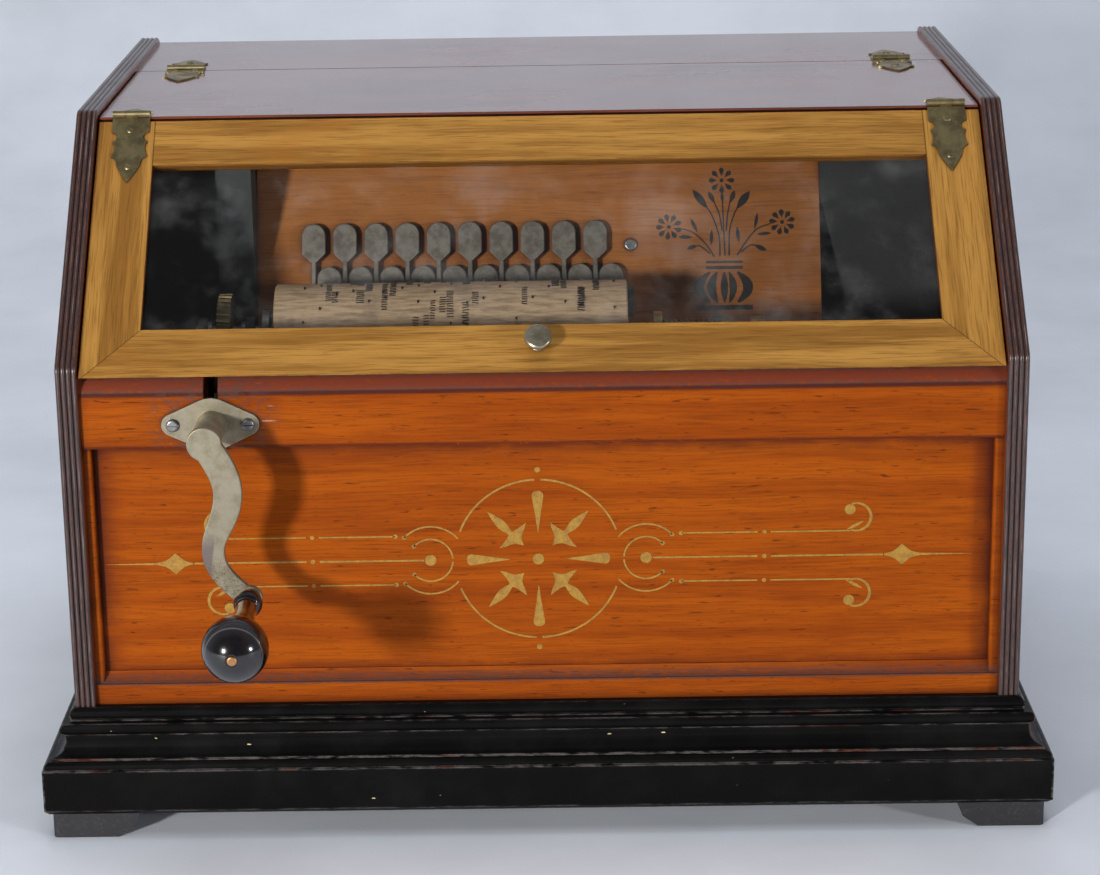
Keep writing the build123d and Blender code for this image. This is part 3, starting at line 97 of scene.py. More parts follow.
def on_panel(x, height, rise):
    """A point on the front panel: mm right, above the base and in front of the panel's face."""
    return place(x, PANEL_FACE - rise, height)


# ---------------------------------------------------------------- shader building
class Signal:
    """A socket that can be added, multiplied and compared, so that a pattern reads as a formula."""

    def __init__(self, shade, socket):
        self.shade = shade
        self.socket = socket

    def op(self, kind, other=0.0):
        return self.shade.math(kind, self, other)

    def __add__(self, other):
        return self.op("ADD", other)

    def __sub__(self, other):
        return self.op("SUBTRACT", other)

    def __mul__(self, other):
        return self.op("MULTIPLY", other)

    def over(self, other):
        return self.op("GREATER_THAN", other)

    def under(self, other):
        return self.op("LESS_THAN", other)

    def at_least(self, other):
        return self.op("MAXIMUM", other)

    def size(self):
        return self.op("ABSOLUTE")

    def step(self, low, high):
        """0 below low, 1 above high and smooth between them."""
        node = self.shade.node("MapRange")
        node.interpolation_type = "SMOOTHSTEP"
        self.shade.feed(node.inputs["Value"], self)
        node.inputs["From Min"].default_value = low
        node.inputs["From Max"].default_value = high
        return Signal(self.shade, node.outputs["Result"])


class Shade:
    """One material's node tree, with short ways to add what the finishes need."""

    def __init__(self, name):
        self.material = bpy.data.materials.new(name)
        self.material.use_nodes = True
        self.tree = self.material.node_tree
        self.tree.nodes.clear()
        self.output = self.node("OutputMaterial")
        self.bsdf = self.node("BsdfPrincipled")
        self.link(self.bsdf.outputs[0], self.output.inputs[0])
        coordinates = self.node("TexCoord")
        mapping = self.node("Mapping")
        mapping.vector_type = "POINT"
        mapping.inputs["Location"].default_value = (0, -FRONT / MM, -BASE_TOP / MM)
        mapping.inputs["Scale"].default_value = (1 / MM, 1 / MM, 1 / MM)
        self.link(coordinates.outputs["Object"], mapping.inputs["Vector"])
        self.point = Signal(self, mapping.outputs["Vector"])
        split = self.node("SeparateXYZ")
        self.link(mapping.outputs["Vector"], split.inputs[0])
        self.x, self.back, self.up = (Signal(self, split.outputs[axis]) for axis in range(3))
        self.bump_after = None

    def node(self, kind):
        return self.tree.nodes.new(f"ShaderNode{kind}")

    def link(self, output, socket):
        self.tree.links.new(output, socket)

    def feed(self, socket, value):
        if isinstance(value, Signal):
            self.link(value.socket, socket)
        elif isinstance(value, (tuple, list)) and len(value) == 3 and socket.type == "RGBA":
            socket.default_value = (*value, 1.0)
        else:
            socket.default_value = value

    def math(self, kind, first, second):
        node = self.node("Math")
        node.operation = kind
        for socket, value in zip(node.inputs, (first, second)):
            self.feed(socket, value)
        return Signal(self, node.outputs[0])

    def vector(self, x, y, z):
        node = self.node("CombineXYZ")
        for socket, value in zip(node.inputs, (x, y, z)):
            self.feed(socket, value)
        return Signal(self, node.outputs[0])

    def noise(self, where, scale=1.0, detail=3.0, rough=0.55, warp=0.0):
        node = self.node("TexNoise")
        self.feed(node.inputs["Vector"], where)
        node.inputs["Scale"].default_value = scale
        node.inputs["Detail"].default_value = detail
        node.inputs["Roughness"].default_value = rough
        node.inputs["Distortion"].default_value = warp
        return Signal(self, node.outputs["Fac"])

    def streaks(self, x, back, up, detail, rough=0.55):
        """Noise with its own scale along each direction, drawn out where that scale is small."""
        return self.noise(self.vector(self.x * x, self.back * back, self.up * up), 1.0, detail, rough)

    def mix(self, share, low, high):
        """Colour low where share is 0 and colour high where it is 1."""
        node = self.node("Mix")
        node.data_type = "RGBA"
        self.feed(node.inputs[0], share)
        self.feed(node.inputs[6], low)
        self.feed(node.inputs[7], high)
        return Signal(self, node.outputs[2])

    def edge(self, radius):
        """How much a rounding of this radius in mm would turn the surface here: 0 on flats."""
        bevel = self.node("Bevel")
        bevel.samples = 4
        bevel.inputs["Radius"].default_value = radius * MM
        geometry = self.node("NewGeometry")
        dot = self.node("VectorMath")
        dot.operation = "DOT_PRODUCT"
        self.link(bevel.outputs[0], dot.inputs[0])
        self.link(geometry.outputs["Normal"], dot.inputs[1])
        return self.math("SUBTRACT", 1.0, Signal(self, dot.outputs["Value"]))

    def corner_shade(self, reach, low, high):
        """1 where the surface is shut in by others within this reach in mm, 0 in the open; the finishes use
        it to paint shade into corners.

        It reaches 1 where less than low of the view is open, and 0 where more than high is.
        """
        node = self.node("AmbientOcclusion")
        node.samples = 6
        node.inputs["Distance"].default_value = reach * MM
        return self.math("SUBTRACT", 1.0, Signal(self, node.outputs["AO"]).step(low, high))

    def facing(self, axis):
        """The size of one component of the true normal."""
        geometry = self.node("NewGeometry")
        split = self.node("SeparateXYZ")
        self.link(geometry.outputs["True Normal"], split.inputs[0])
        return Signal(self, split.outputs[axis]).size()

    def bump(self, height, depth, strength=1.0):
        """Raise the surface by height times depth, in mm."""
        node = self.node("Bump")
        node.inputs["Strength"].default_value = strength
        node.inputs["Distance"].default_value = depth * MM
        self.feed(node.inputs["Height"], height)
        if self.bump_after is not None:
            self.link(self.bump_after, node.inputs["Normal"])
        self.bump_after = node.outputs[0]
        self.link(node.outputs[0], self.bsdf.inputs["Normal"])

    def either(self, share, first, second):
        """The shader that is first where share is 0 and second where it is 1."""
        node = self.node("MixShader")
        self.feed(node.inputs[0], share)
        self.link(first, node.inputs[1])
        self.link(second, node.inputs[2])
        return node.outputs[0]

    def finish(self, color, roughness, **others):
        self.feed(self.bsdf.inputs["Base Color"], color)
        self.feed(self.bsdf.inputs["Roughness"], roughness)
        for name, value in others.items():
            self.feed(self.bsdf.inputs[name.replace("_", " ")], value)
        return self.material


def srgb(red, green, blue):
    """A linear colour from the 0 to 255 values seen on a screen."""
    values = []
    for part in (red, green, blue):
        share = part / 255
        values.append(share / 12.92 if share <= 0.04045 else ((share + 0.055) / 1.055) ** 2.4)
    return tuple(values)


# ---------------------------------------------------------------- wood
def grain(shade, along, across, deep, seed, figure=1.0):
    """Patterns of one plank: its figure, its fibres, its short dark flecks and its blotches."""
    shift = seed * 37.0
    sway = shade.noise(shade.vector(along * 0.012, across * 0.02, deep * 0.02 + shift), 1.0, 2.0)
    bent = across + (sway - 0.5) * (14.0 * figure)
    rings = shade.noise(shade.vector(along * 0.006, bent * 0.11, deep * 0.11 + shift), 1.0, 4.0, 0.6)
    fibres = shade.noise(shade.vector(along * 0.05, bent * 1.6, deep * 1.6 + shift), 1.0, 3.0, 0.6)
    flecks = shade.noise(shade.vector(along * 0.11, across * 0.8 + shift, deep * 0.8), 1.0, 1.5, 0.5, 0.3)
    blotch = shade.noise(shade.vector(along * 0.02, across * 0.03 + shift, deep * 0.03), 1.0, 3.0, 0.6)
    return rings, fibres, flecks, blotch


def varnished(
    name, seed, light, dark, dirt_and_shade, rough=0.34, coat=0.03, flecked=0.68, groove=None, figure=1.0, gleam=0.04
):
    """Varnished wood whose grain runs left to right, with painted shade darkening its corners and recesses.
    """
    shade = Shade(name)
    rings, fibres, flecks, blotch = grain(shade, shade.x, shade.up, shade.back, seed, figure)
    color = shade.mix(rings.step(0.34, 0.68) * 0.6, light, dark)
    color = shade.mix(fibres.step(0.42, 0.75) * 0.42, color, dirt_and_shade)
    dashes = shade.noise(shade.vector(shade.x * 0.22, shade.up * 1.9, seed * 11.0), 1.0, 1.0, 0.4)
    color = shade.mix(dashes.step(0.7, 0.76) * 0.6, color, dirt_and_shade)
    color = shade.mix(flecks.step(flecked, flecked + 0.06) * 0.62, color, dirt_and_shade)
    color = shade.mix(blotch.step(0.55, 0.8) * 0.4, color, dark)
    # painted shade: corners and recesses darkened toward the dark dirt colour
    color = shade.mix(shade.corner_shade(5, 0.45, 0.95) * 0.75, color, dirt_and_shade)
    if groove is not None:
        color = groove(shade, color)
    shade.bump(fibres, 0.05, 0.5)
    shade.bump(flecks.step(flecked, flecked + 0.1), -0.08, 0.6)
    roughness = fibres * 0.12 + (blotch * 0.18 + (rough - 0.12))
    return shade.finish(color, roughness, Coat_Weight=coat, Coat_Roughness=0.12, Specular_IOR_Level=gleam)


ORANGE = srgb(154, 74, 12)
ORANGE_DEEP = srgb(118, 46, 8)
DIRT_AND_SHADE = srgb(54, 22, 12)
GRIME = srgb(84, 60, 54)


def panel_groove(shade, color):
    """Painted shadow bands at the ends of the front panel, painted shade along its top and bottom edges with
    some grime, and painted shade in its corners.
    """
    # painted shadow: dark red-brown bands at both ends and strips under the top rail and along the bottom,
    # broken up by noise
    ends = shade.x.size().step(INNER_X - 18, INNER_X - 1)
    top = shade.up.step(113, 121) * 0.5
    bottom = (shade.up * -1.0).step(-19, -13) * 0.6
    strip = ends.at_least(top).at_least(bottom)
    patch = shade.noise(shade.point, 0.05, 4.0)
    color = shade.mix(strip * patch.step(0.2, 0.6) * 0.75, color, srgb(84, 32, 18))
    # painted shade: the panel's corners darkened by the occlusion mask
    return shade.mix(shade.corner_shade(11, 0.5, 0.98) * patch.step(0.2, 0.55) * 0.8, color, srgb(60, 24, 20))


def rail_groove(shade, color):
    """Worn purple-grey varnish on the mouldings of the front rails and round the crank plate."""
    cove = shade.up.step(145.3, 147.0)
    foot = (shade.up * -1.0).step(-14.5, -9.0) * shade.up.over(8.8)
    ragged = shade.noise(shade.vector(shade.x * 0.25, shade.up * 0.5, shade.back * 0.5), 1.0, 4.0, 0.65)
    worn = cove.at_least(foot) * ragged.step(0.28, 0.5)
    color = shade.mix(worn * 0.82, color, GRIME)
    red_core = ((shade.up - 150.3).size() * -1.0).step(-3.0, -1.4) * cove
    color = shade.mix(red_core * 0.6, color, srgb(118, 46, 24))
    foot_line = ((shade.up - 146.2).size() * -1.0).step(-1.6, -0.4)
    color = shade.mix(foot_line * 0.8, color, srgb(56, 26, 26))
    lip = ((shade.up - 121.5).size() * -1.0).step(-1.8, -0.5)
    color = shade.mix(lip * ragged.step(0.2, 0.45) * 0.75, color, srgb(66, 26, 20))
    away = shade.vector(shade.x + 146.2, shade.back * 0.0, shade.up - 133.5)
    length = shade.node("VectorMath")
    length.operation = "LENGTH"
    shade.link(away.socket, length.inputs[0])
    ring = (Signal(shade, length.outputs["Value"]) * -1.0).step(-34, -19)
    color = shade.mix(ring * ragged.step(0.42, 0.62) * 0.7, color, GRIME)
    scuff = shade.noise(shade.vector(shade.x * 0.08, shade.up * 0.9, shade.back), 1.0, 2.0, 0.5)
    pale = scuff.step(0.70, 0.74) * ring
    return shade.mix(pale * 0.6, color, srgb(215, 190, 165))


def reeded_sides():
    """Side boards: dark reeds with brown worn crests and painted grey highlights on them, red-brown inner
    faces with painted shade in their corners.
    """
    shade = Shade("reeded_sides")
    rings, fibres, _, blotch = grain(shade, shade.up, shade.back, shade.x, 3.0)
    inside = (shade.x.size() - (INNER_X + 0.05)).under(0.0) * shade.facing(0).over(0.9)
    red = shade.mix(rings.step(0.35, 0.7), srgb(150, 66, 28), srgb(104, 40, 18))
    # painted shade in the corners of the red-brown inner faces
    red = shade.mix(shade.corner_shade(14, 0.3, 0.95) * 0.8, red, srgb(40, 18, 14))
    dark = shade.mix(fibres.step(0.4, 0.7), srgb(44, 34, 34), srgb(70, 48, 42))
    crest = (shade.math("SUBTRACT", 1.0, shade.facing(0))).step(0.86, 0.99)
    ragged = shade.streaks(2.0, 0.22, 0.22, 5.0, 0.7)
    worn = crest * ragged.step(0.42, 0.62)
    dark = shade.mix(worn * 0.85, dark, srgb(128, 70, 44))
    # painted highlight: pale grey glints along the crests of the reeds
    grey = shade.noise(shade.vector(shade.x, shade.back * 0.06, shade.up * 0.06), 1.0, 3.0)
    dark = shade.mix(crest * grey.step(0.5, 0.7) * 0.55, dark, srgb(150, 138, 136))
    outer_face = shade.facing(0).step(0.9, 0.99)
    stain = shade.mix(rings.step(0.35, 0.7), srgb(78, 42, 28), srgb(50, 28, 22))
    dark = shade.mix(outer_face * 0.8, dark, stain)
    color = shade.mix(inside, dark, red)
    shade.bump(fibres, 0.06, 0.5)
    return shade.finish(color, blotch * 0.2 + 0.24, Coat_Weight=0.2, Coat_Roughness=0.15)


def black_paint():
    """Satin black base paint with pale chips and scuffed edges."""
    shade = Shade("black_paint")
    soft = shade.noise(shade.point, 0.03, 4.0, 0.6)
    fibres = shade.streaks(0.05, 0.05, 1.4, 3.0, 0.6)
    color = shade.mix(soft.step(0.4, 0.75), srgb(10, 10, 10), srgb(20, 19, 19))
    edge = shade.edge(1.3)
    ragged = shade.streaks(0.11, 0.11, 0.5, 5.0, 0.7)
    scuffed = edge.step(0.02, 0.14) * ragged.step(0.4, 0.6)
    color = shade.mix(scuffed * 0.8, color, srgb(118, 112, 110))
    spots = shade.streaks(0.16, 0.16, 0.5, 1.0, 0.4)
    chips = spots.step(0.80, 0.82) * ragged.step(0.3, 0.45)
    color = shade.mix(chips, color, srgb(214, 196, 150))
    brown = edge.step(0.05, 0.25) * shade.noise(shade.point, 0.045, 3.0).step(0.56, 0.64)
    color = shade.mix(brown * 0.6, color, srgb(110, 54, 26))
    shade.bump(fibres, 0.05, 0.5)
    shade.bump(chips, -0.15, 0.8)
    roughness = soft * 0.22 + 0.2
    return shade.finish(color, roughness, Coat_Weight=0.03, Coat_Roughness=0.2, Specular_IOR_Level=0.06)


def flat_black(name, tint, dusty):
    """Dull black paint, with a sprinkling of dust."""
    shade = Shade(name)
    soft = shade.noise(shade.point, 0.09, 5.0, 0.65)
    color = shade.mix(soft, tint, tuple(part * 1.9 + 0.004 for part in tint))
    dust = shade.noise(shade.point, 0.6, 4.0, 0.7).step(0.5, 0.8) * dusty
    color = shade.mix(dust, color, srgb(120, 112, 104))
    shade.bump(soft, 0.1, 0.4)
    return shade.finish(color, 0.62)


def top_wood():
    """Dark red varnish on the lid and the strip behind it, glossy enough to mirror the room."""
    shade = Shade("top_wood")
    rings, fibres = grain(shade, shade.x, shade.back, shade.up, 5.0)[:2]
    color = shade.mix(rings.step(0.35, 0.7), srgb(112, 52, 30), srgb(70, 30, 20))
    color = shade.mix(fibres.step(0.45, 0.7) * 0.4, color, srgb(44, 20, 16))
    haze = shade.noise(shade.point, 0.012, 3.0, 0.6)
    color = shade.mix(haze.step(0.3, 0.8) * 0.15, color, srgb(126, 92, 78))
    # painted shade: corners, such as round the hinge leaves, darkened by the occlusion mask
    color = shade.mix(shade.corner_shade(3, 0.45, 0.95) * 0.8, color, srgb(34, 18, 14))
    shade.bump(fibres, 0.04, 0.4)
    return shade.finish(color, haze * 0.2 + 0.16, Coat_Weight=0.7, Coat_Roughness=0.1)


def door_wood():
    """Yellow ochre door rails with dark streaks; stiles and rails each have their own grain."""
    shade = Shade("door_wood")
    climb = (shade.back + shade.up - FRONT_HEIGHT) * math.sqrt(0.5)
    depth = (shade.back - shade.up) * math.sqrt(0.5)
    beyond = shade.x.size() - (DOOR_HALF_WIDTH - STILE)
    mitre = (climb - RAIL_LOW) + beyond * ((RAIL_LOW + 4.0) / STILE)
    stile = beyond.over(0.0) * mitre.over(0.0)
    colors = []
    for along, across, seed in ((shade.x, climb, 7.0), (climb, shade.x, 8.5)):
        rings, fibres, flecks, blotch = grain(shade, along, across, depth, seed, 0.25)
        tone = shade.mix(rings.step(0.38, 0.66), srgb(156, 114, 54), srgb(120, 82, 34))
        tone = shade.mix(fibres.step(0.45, 0.7) * 0.6, tone, srgb(86, 54, 20))
        tone = shade.mix(flecks.step(0.7, 0.8) * 0.35, tone, srgb(84, 54, 22))
        colors.append(shade.mix(blotch.step(0.5, 0.75) * 0.35, tone, srgb(140, 84, 28)))
    color = shade.mix(stile, colors[0], colors[1])
    line = (mitre.size() * -1.0).step(-0.45, -0.1) * beyond.over(0.0)
    butt = (beyond.size() * -1.0).step(-0.4, -0.1) * mitre.over(0.0)
    color = shade.mix(line.at_least(butt) * 0.7, color, srgb(52, 26, 12))
    edge = shade.edge(1.2).step(0.04, 0.2)
    ragged = shade.streaks(0.1, 0.4, 0.4, 4.0, 0.65)
    color = shade.mix(edge * ragged.step(0.4, 0.6) * 0.7, color, srgb(96, 46, 22))
    # painted shade: the door's corners darkened by the occlusion mask
    color = shade.mix(shade.corner_shade(4, 0.4, 0.95) * 0.7, color, srgb(70, 36, 16))
    under = (depth - (DOOR_RECESS - FRONT_HEIGHT * math.sqrt(0.5) + 1.0)).over(0.0)
    color = shade.mix(under * 0.5, color, srgb(84, 40, 16))
    shade.bump(fibres, 0.06, 0.5)
    roughness = ragged * 0.16 + 0.26
    return shade.finish(color, roughness, Coat_Weight=0.05, Coat_Roughness=0.16, Specular_IOR_Level=0.1)


def cob_wood():
    """The bare grey-beige roller, with dark blotches."""
    shade = Shade("cob_wood")
    fibres = shade.streaks(0.09, 0.7, 0.7, 4.0, 0.65)
    blotch = shade.noise(shade.point, 0.07, 4.0, 0.65)
    color = shade.mix(fibres.step(0.35, 0.7), srgb(156, 130, 103), srgb(116, 93, 73))
    color = shade.mix(blotch.step(0.5, 0.75) * 0.6, color, srgb(96, 78, 64))
    shade.bump(fibres, 0.12, 0.6)
    return shade.finish(color, 0.62)


# ---------------------------------------------------------------- metal, glass and cloth
def metal(
    name, light, dark, rough, patch=0.5, speckle=0.0, edge_highlight=0.3, metallic=0.9, scale=0.12, rim_width=0.35
):
    """Worn metal with soft tarnish patches, fine scratches and painted highlights along its edges."""
    shade = Shade(name)
    tarnish = shade.noise(shade.point, scale, 5.0, 0.62)
    fine = shade.noise(shade.point, 2.4, 3.0, 0.6)
    scratch = shade.streaks(3.0, 0.5, 0.5, 2.0, 0.5)
    color = shade.mix(tarnish.step(0.5 - patch * 0.3, 0.55 + patch * 0.2), light, dark)
    color = shade.mix(fine.step(0.6, 0.8) * speckle, color, srgb(60, 46, 34))
    # painted highlight: edges lightened toward a paler copy of the base tone
    painted_rim = shade.edge(rim_width).step(0.03, 0.25)
    color = shade.mix(painted_rim * edge_highlight, color, tuple(min(1.0, part * 1.5 + 0.04) for part in light))
    shade.bump(fine, 0.03, 0.5)
    shade.bump(scratch, 0.015, 0.4)
    roughness = tarnish * 0.25 + (rough - 0.1)
    return shade.finish(color, roughness, Metallic=metallic)


def crank_nickel():
    """Pale nickel plate gone matt, with one grey patch worn through on the arm, dark pits and painted
    highlights on its edges.
    """
    shade = Shade("nickel_plate")
    cloud = shade.noise(shade.point, 0.16, 5.0, 0.6)
    pits = shade.noise(shade.point, 1.1, 3.0, 0.6)
    color = shade.mix(cloud.step(0.35, 0.7), srgb(154, 146, 126), srgb(130, 121, 100))
    low = (shade.up * -1.0).step(-94, -84) * (shade.up - 66.0).step(0.0, 6.0)
    left = (shade.x * -1.0 + (shade.up - 84) * 0.12).step(143.6, 144.6)
    worn = low * left * shade.back.under(0.0)
    color = shade.mix(worn * 0.85, color, srgb(112, 100, 100))
    foot = (shade.up * -1.0).step(-86, -70) * pits.step(0.5, 0.62) * shade.back.under(-20.0)
    color = shade.mix(foot * 0.7, color, srgb(84, 74, 66))
    color = shade.mix(pits.step(0.66, 0.76) * 0.5, color, srgb(110, 92, 66))
    # painted highlight: near-white edges
    painted_rim = shade.edge(0.5).step(0.03, 0.3)
    color = shade.mix(painted_rim * 0.5, color, srgb(232, 226, 206))
    shade.bump(pits, 0.05, 0.5)
    return shade.finish(color, cloud * 0.2 + 0.36, Metallic=0.75)


def handle_black():
    """Gloss black turned wood, rubbed red-brown at its neck."""
    shade = Shade("ebonised_handle")
    swirl = shade.noise(shade.point, 0.12, 4.0, 0.6)
    color = shade.mix(swirl.step(0.45, 0.75), srgb(14, 12, 14), srgb(26, 20, 20))
    neck = (shade.back * 1.0).step(-84, -70) * (shade.back * -1.0).step(36, 46)
    color = shade.mix(neck * swirl.step(0.35, 0.6) * 0.7, color, srgb(74, 28, 18))
    dust = shade.noise(shade.point, 1.6, 3.0, 0.6)
    off_axis = (shade.x - HANDLE_X).op("POWER", 2.0) + (shade.up - HANDLE_UP).op("POWER", 2.0)
    ring = ((off_axis.op("SQRT") - 12.1).size() * -1.0).step(-0.35, -0.1) * shade.back.under(-84.0)
    color = shade.mix(ring * 0.5, color, srgb(96, 92, 92))
    shade.bump(ring, -0.25, 0.8)
    shade.bump(dust, 0.02, 0.3)
    return shade.finish(color, dust * 0.12 + 0.1, Coat_Weight=0.8, Coat_Roughness=0.06)


def clear_glass():
    """Old window glass: clear, slightly wavy, with a thin haze of dust."""
    shade = Shade("clear_glass")
    wave = shade.noise(shade.point, 0.02, 2.0, 0.5)
    haze = shade.noise(shade.point, 0.03, 5.0, 0.65)
    shade.bump(wave, 0.25, 0.25)
    clear = shade.node("BsdfTransparent")
    clear.inputs[0].default_value = (0.97, 0.985, 0.98, 1)
    gloss = shade.node("BsdfGlossy")
    gloss.inputs["Roughness"].default_value = 0.04
    shade.link(shade.bump_after, gloss.inputs["Normal"])
    dust = shade.node("BsdfDiffuse")
    dust.inputs[0].default_value = (0.75, 0.75, 0.76, 1)
    # the share of light that bounces off, rising from 3 in 100 straight on to most at a glance
    graze = shade.node("LayerWeight")
    graze.inputs["Blend"].default_value = 0.5
    bounce = Signal(shade, graze.outputs["Facing"]).op("POWER", 4.0) * 0.7 + 0.03
    pane = shade.either(bounce, clear.outputs[0], gloss.outputs[0])
    dusty = shade.either(haze.step(0.45, 0.75) * 0.035, pane, dust.outputs[0])
    shade.link(dusty, shade.output.inputs[0])
    return shade.material


def stencil(name, light, dark, gap_share, under=None):
    """Stencilled paint or bronze powder, thin and broken where it has worn to the varnish."""
    shade = Shade(name)
    tone = shade.noise(shade.point, 0.35, 4.0, 0.65)
    color = shade.mix(tone.step(0.35, 0.7), light, dark)
    worn = shade.noise(shade.point, 0.9, 4.0, 0.7).step(gap_share, gap_share + 0.05)
    if under is not None:
        color = shade.mix(worn * 0.85, color, under)
    shade.bump(tone, 0.03, 0.4)
    return shade.finish(color, 0.42, Metallic=0.12 if under is not None else 0.0, Coat_Weight=0.3)


def bellows_cloth():
    """Dark rubbered cotton with a fine weave."""
    shade = Shade("bellows_cloth")
    weave = (shade.x * 6.0).op("SINE") * (shade.back * 6.0).op("SINE")
    soft = shade.noise(shade.point, 0.05, 4.0, 0.6)
    color = shade.mix(soft, srgb(36, 30, 30), srgb(64, 52, 48))
    shade.bump(weave, 0.05, 0.5)
    return shade.finish(color, 0.8, Sheen_Weight=0.3)


def felt(name, tint):
    """Soft leather or felt pads."""
    shade = Shade(name)
    nap = shade.noise(shade.point, 3.0, 3.0, 0.7)
    color = shade.mix(nap, tint, tuple(part * 0.6 for part in tint))
    shade.bump(nap, 0.1, 0.6)
    return shade.finish(color, 0.85)


FINISHES = {
    "varnished_front": varnished(
        "varnished_front", 1.0, ORANGE, ORANGE_DEEP, DIRT_AND_SHADE, groove=panel_groove, figure=0.35
    ),
    "varnished_rails": varnished(
        "varnished_rails", 2.0, ORANGE, ORANGE_DEEP, DIRT_AND_SHADE, groove=rail_groove, figure=0.4
    ),
    "reeded_sides": reeded_sides(),
    "black_paint": black_paint(),
    "black_feet": flat_black("black_feet", srgb(20, 20, 24), 0.2),
    "black_paint_flat": flat_black("black_paint_flat", srgb(22, 22, 24), 0.12),
    "softwood": varnished(
        "softwood", 4.0, srgb(186, 148, 100), srgb(150, 108, 66), srgb(96, 66, 40), rough=0.6, coat=0.0
    ),
    "dark_wood": varnished(
        "dark_wood", 6.0, srgb(112, 62, 34), srgb(76, 40, 24), srgb(44, 24, 18), rough=0.5, coat=0.15
    ),
    "top_wood": top_wood(),
    "door_wood": door_wood(),
    "pallet_wood": varnished(
        "pallet_wood", 9.0, srgb(156, 98, 52), srgb(128, 76, 38), srgb(84, 44, 26), rough=0.42, coat=0.03,
        flecked=0.78, figure=0.6,
    ),
    "cob_wood": cob_wood(),
    "nickel_plate": crank_nickel(),
    "ebonised_handle": handle_black(),
    "clear_glass": clear_glass(),
    "hinge_brass": metal("hinge_brass", srgb(162, 148, 108), srgb(112, 101, 74), 0.42, 0.6, 0.5),
    "knob_nickel": metal("knob_nickel", srgb(186, 178, 156), srgb(146, 136, 114), 0.3, 0.4, 0.2),
    "key_steel": metal(
        "key_steel", srgb(122, 114, 106), srgb(94, 86, 78), 0.5, 0.5, 0.35, 0.8, metallic=0.55, scale=0.2,
        rim_width=0.7,
    ),
    "steel": metal("steel", srgb(164, 164, 164), srgb(112, 110, 110), 0.36),
    "cast_iron_grey": metal("cast_iron_grey", srgb(44, 44, 46), srgb(30, 30, 32), 0.55, metallic=0.3),
    "gear_brass": metal("gear_brass", srgb(122, 108, 78), srgb(82, 70, 50), 0.45, 0.5, 0.4),
    "reed_brass": metal("reed_brass", srgb(196, 168, 96), srgb(160, 130, 74), 0.35),
    "spring_brass": metal("spring_brass", srgb(190, 164, 100), srgb(150, 124, 74), 0.35),
    "spindle_brass": metal("spindle_brass", srgb(206, 186, 132), srgb(164, 140, 92), 0.35),
    "rivet_brass": metal("rivet_brass", srgb(186, 138, 96), srgb(130, 86, 58), 0.35),
    "pin_steel": metal("pin_steel", srgb(58, 48, 40), srgb(36, 28, 24), 0.5, metallic=0.6),
    "bellows_cloth": bellows_cloth(),
}
GOLD = stencil("gold_stencil", srgb(164, 124, 34), srgb(138, 98, 26), 0.58, srgb(130, 64, 14))
INK = stencil("black_stencil", srgb(26, 22, 22), srgb(40, 34, 34), 0.66, srgb(96, 56, 34))
LEATHER = felt("pad_leather", srgb(176, 150, 112))

for subpart in frame["record"]["subparts"]:
    node = frame["nodes"][subpart["node"]]
    node.data.materials.clear()
    node.data.materials.append(FINISHES[subpart["material_slot"]])


# ---------------------------------------------------------------- mesh helpers
def piece(name, mesh_builder, body, slot, material=None):
    """A new mesh piece filled by mesh_builder(bm), riding on a CAD body; its slot's finish is its own
    unless it has another material."""
    bm = bmesh.new()
    mesh_builder(bm)
    bmesh.ops.recalc_face_normals(bm, faces=bm.faces)
    mesh = bpy.data.meshes.new(name)
    bm.to_mesh(mesh)
    bm.free()
    made = bpy.data.objects.new(name, mesh)
    bpy.context.scene.collection.objects.link(made)
    mesh.materials.append(material or FINISHES[slot])
    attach(made, body)
    return made


def smooth(made, angle=40):
    """Smooth shading with hard edges kept above this angle."""
    for polygon in made.data.polygons:
        polygon.use_smooth = True
    made.data.set_sharp_from_angle(angle=math.radians(angle))
    return made


def slab(bm, outline, spot, low, high):
    """A closed thin solid from a flat outline; spot(a, b, rise) gives a point of the surface."""
    bottom = [bm.verts.new(spot(a, b, low)) for a, b in outline]
    top = [bm.verts.new(spot(a, b, high)) for a, b in outline]
    bm.faces.new(top)
    bm.faces.new(bottom[::-1])
    count = len(outline)
    for index in range(count):
        after = (index + 1) % count
        bm.faces.new((bottom[index], bottom[after], top[after], top[index]))


def ribbon(path, widths):
    """The outline of a stroke along a path, with one width for all points or one for each."""
    if not isinstance(widths, (list, tuple)):
        widths = [widths] * len(path)
    left, right = [], []
    for index, (a, b) in enumerate(path):
        before = path[max(0, index - 1)]
        after = path[min(len(path) - 1, index + 1)]
        da, db = after[0] - before[0], after[1] - before[1]
        length = math.hypot(da, db) or 1.0
        shift_a, shift_b = -db / length * widths[index] / 2, da / length * widths[index] / 2
        left.append((a + shift_a, b + shift_b))
        right.append((a - shift_a, b - shift_b))
    return left + right[::-1]


def arc(centre, radius, start, end, steps=20):
    """Points of an arc in degrees."""
    return [
        (
            centre[0] + radius * math.cos(math.radians(start + (end - start) * step / steps)),
            centre[1] + radius * math.sin(math.radians(start + (end - start) * step / steps)),
        )
        for step in range(steps + 1)
    ]


def curve(points, steps=10):
    """A smooth open curve through the points (Catmull-Rom)."""
    padded = [points[0], *points, points[-1]]
    made = []
    for index in range(1, len(padded) - 2):
        p0, p1, p2, p3 = padded[index - 1 : index + 3]
        for step in range(steps):
            t = step / steps
            point = []
            for a, b, c, d in zip(p0, p1, p2, p3):
                slope = (c - a) * t
                sag = (2 * a - 5 * b + 4 * c - d) * t * t
                twist = (3 * b - a - 3 * c + d) * t**3
                point.append(0.5 * (2 * b + slope + sag + twist))
            made.append(tuple(point))
    made.append(points[-1])
    return made


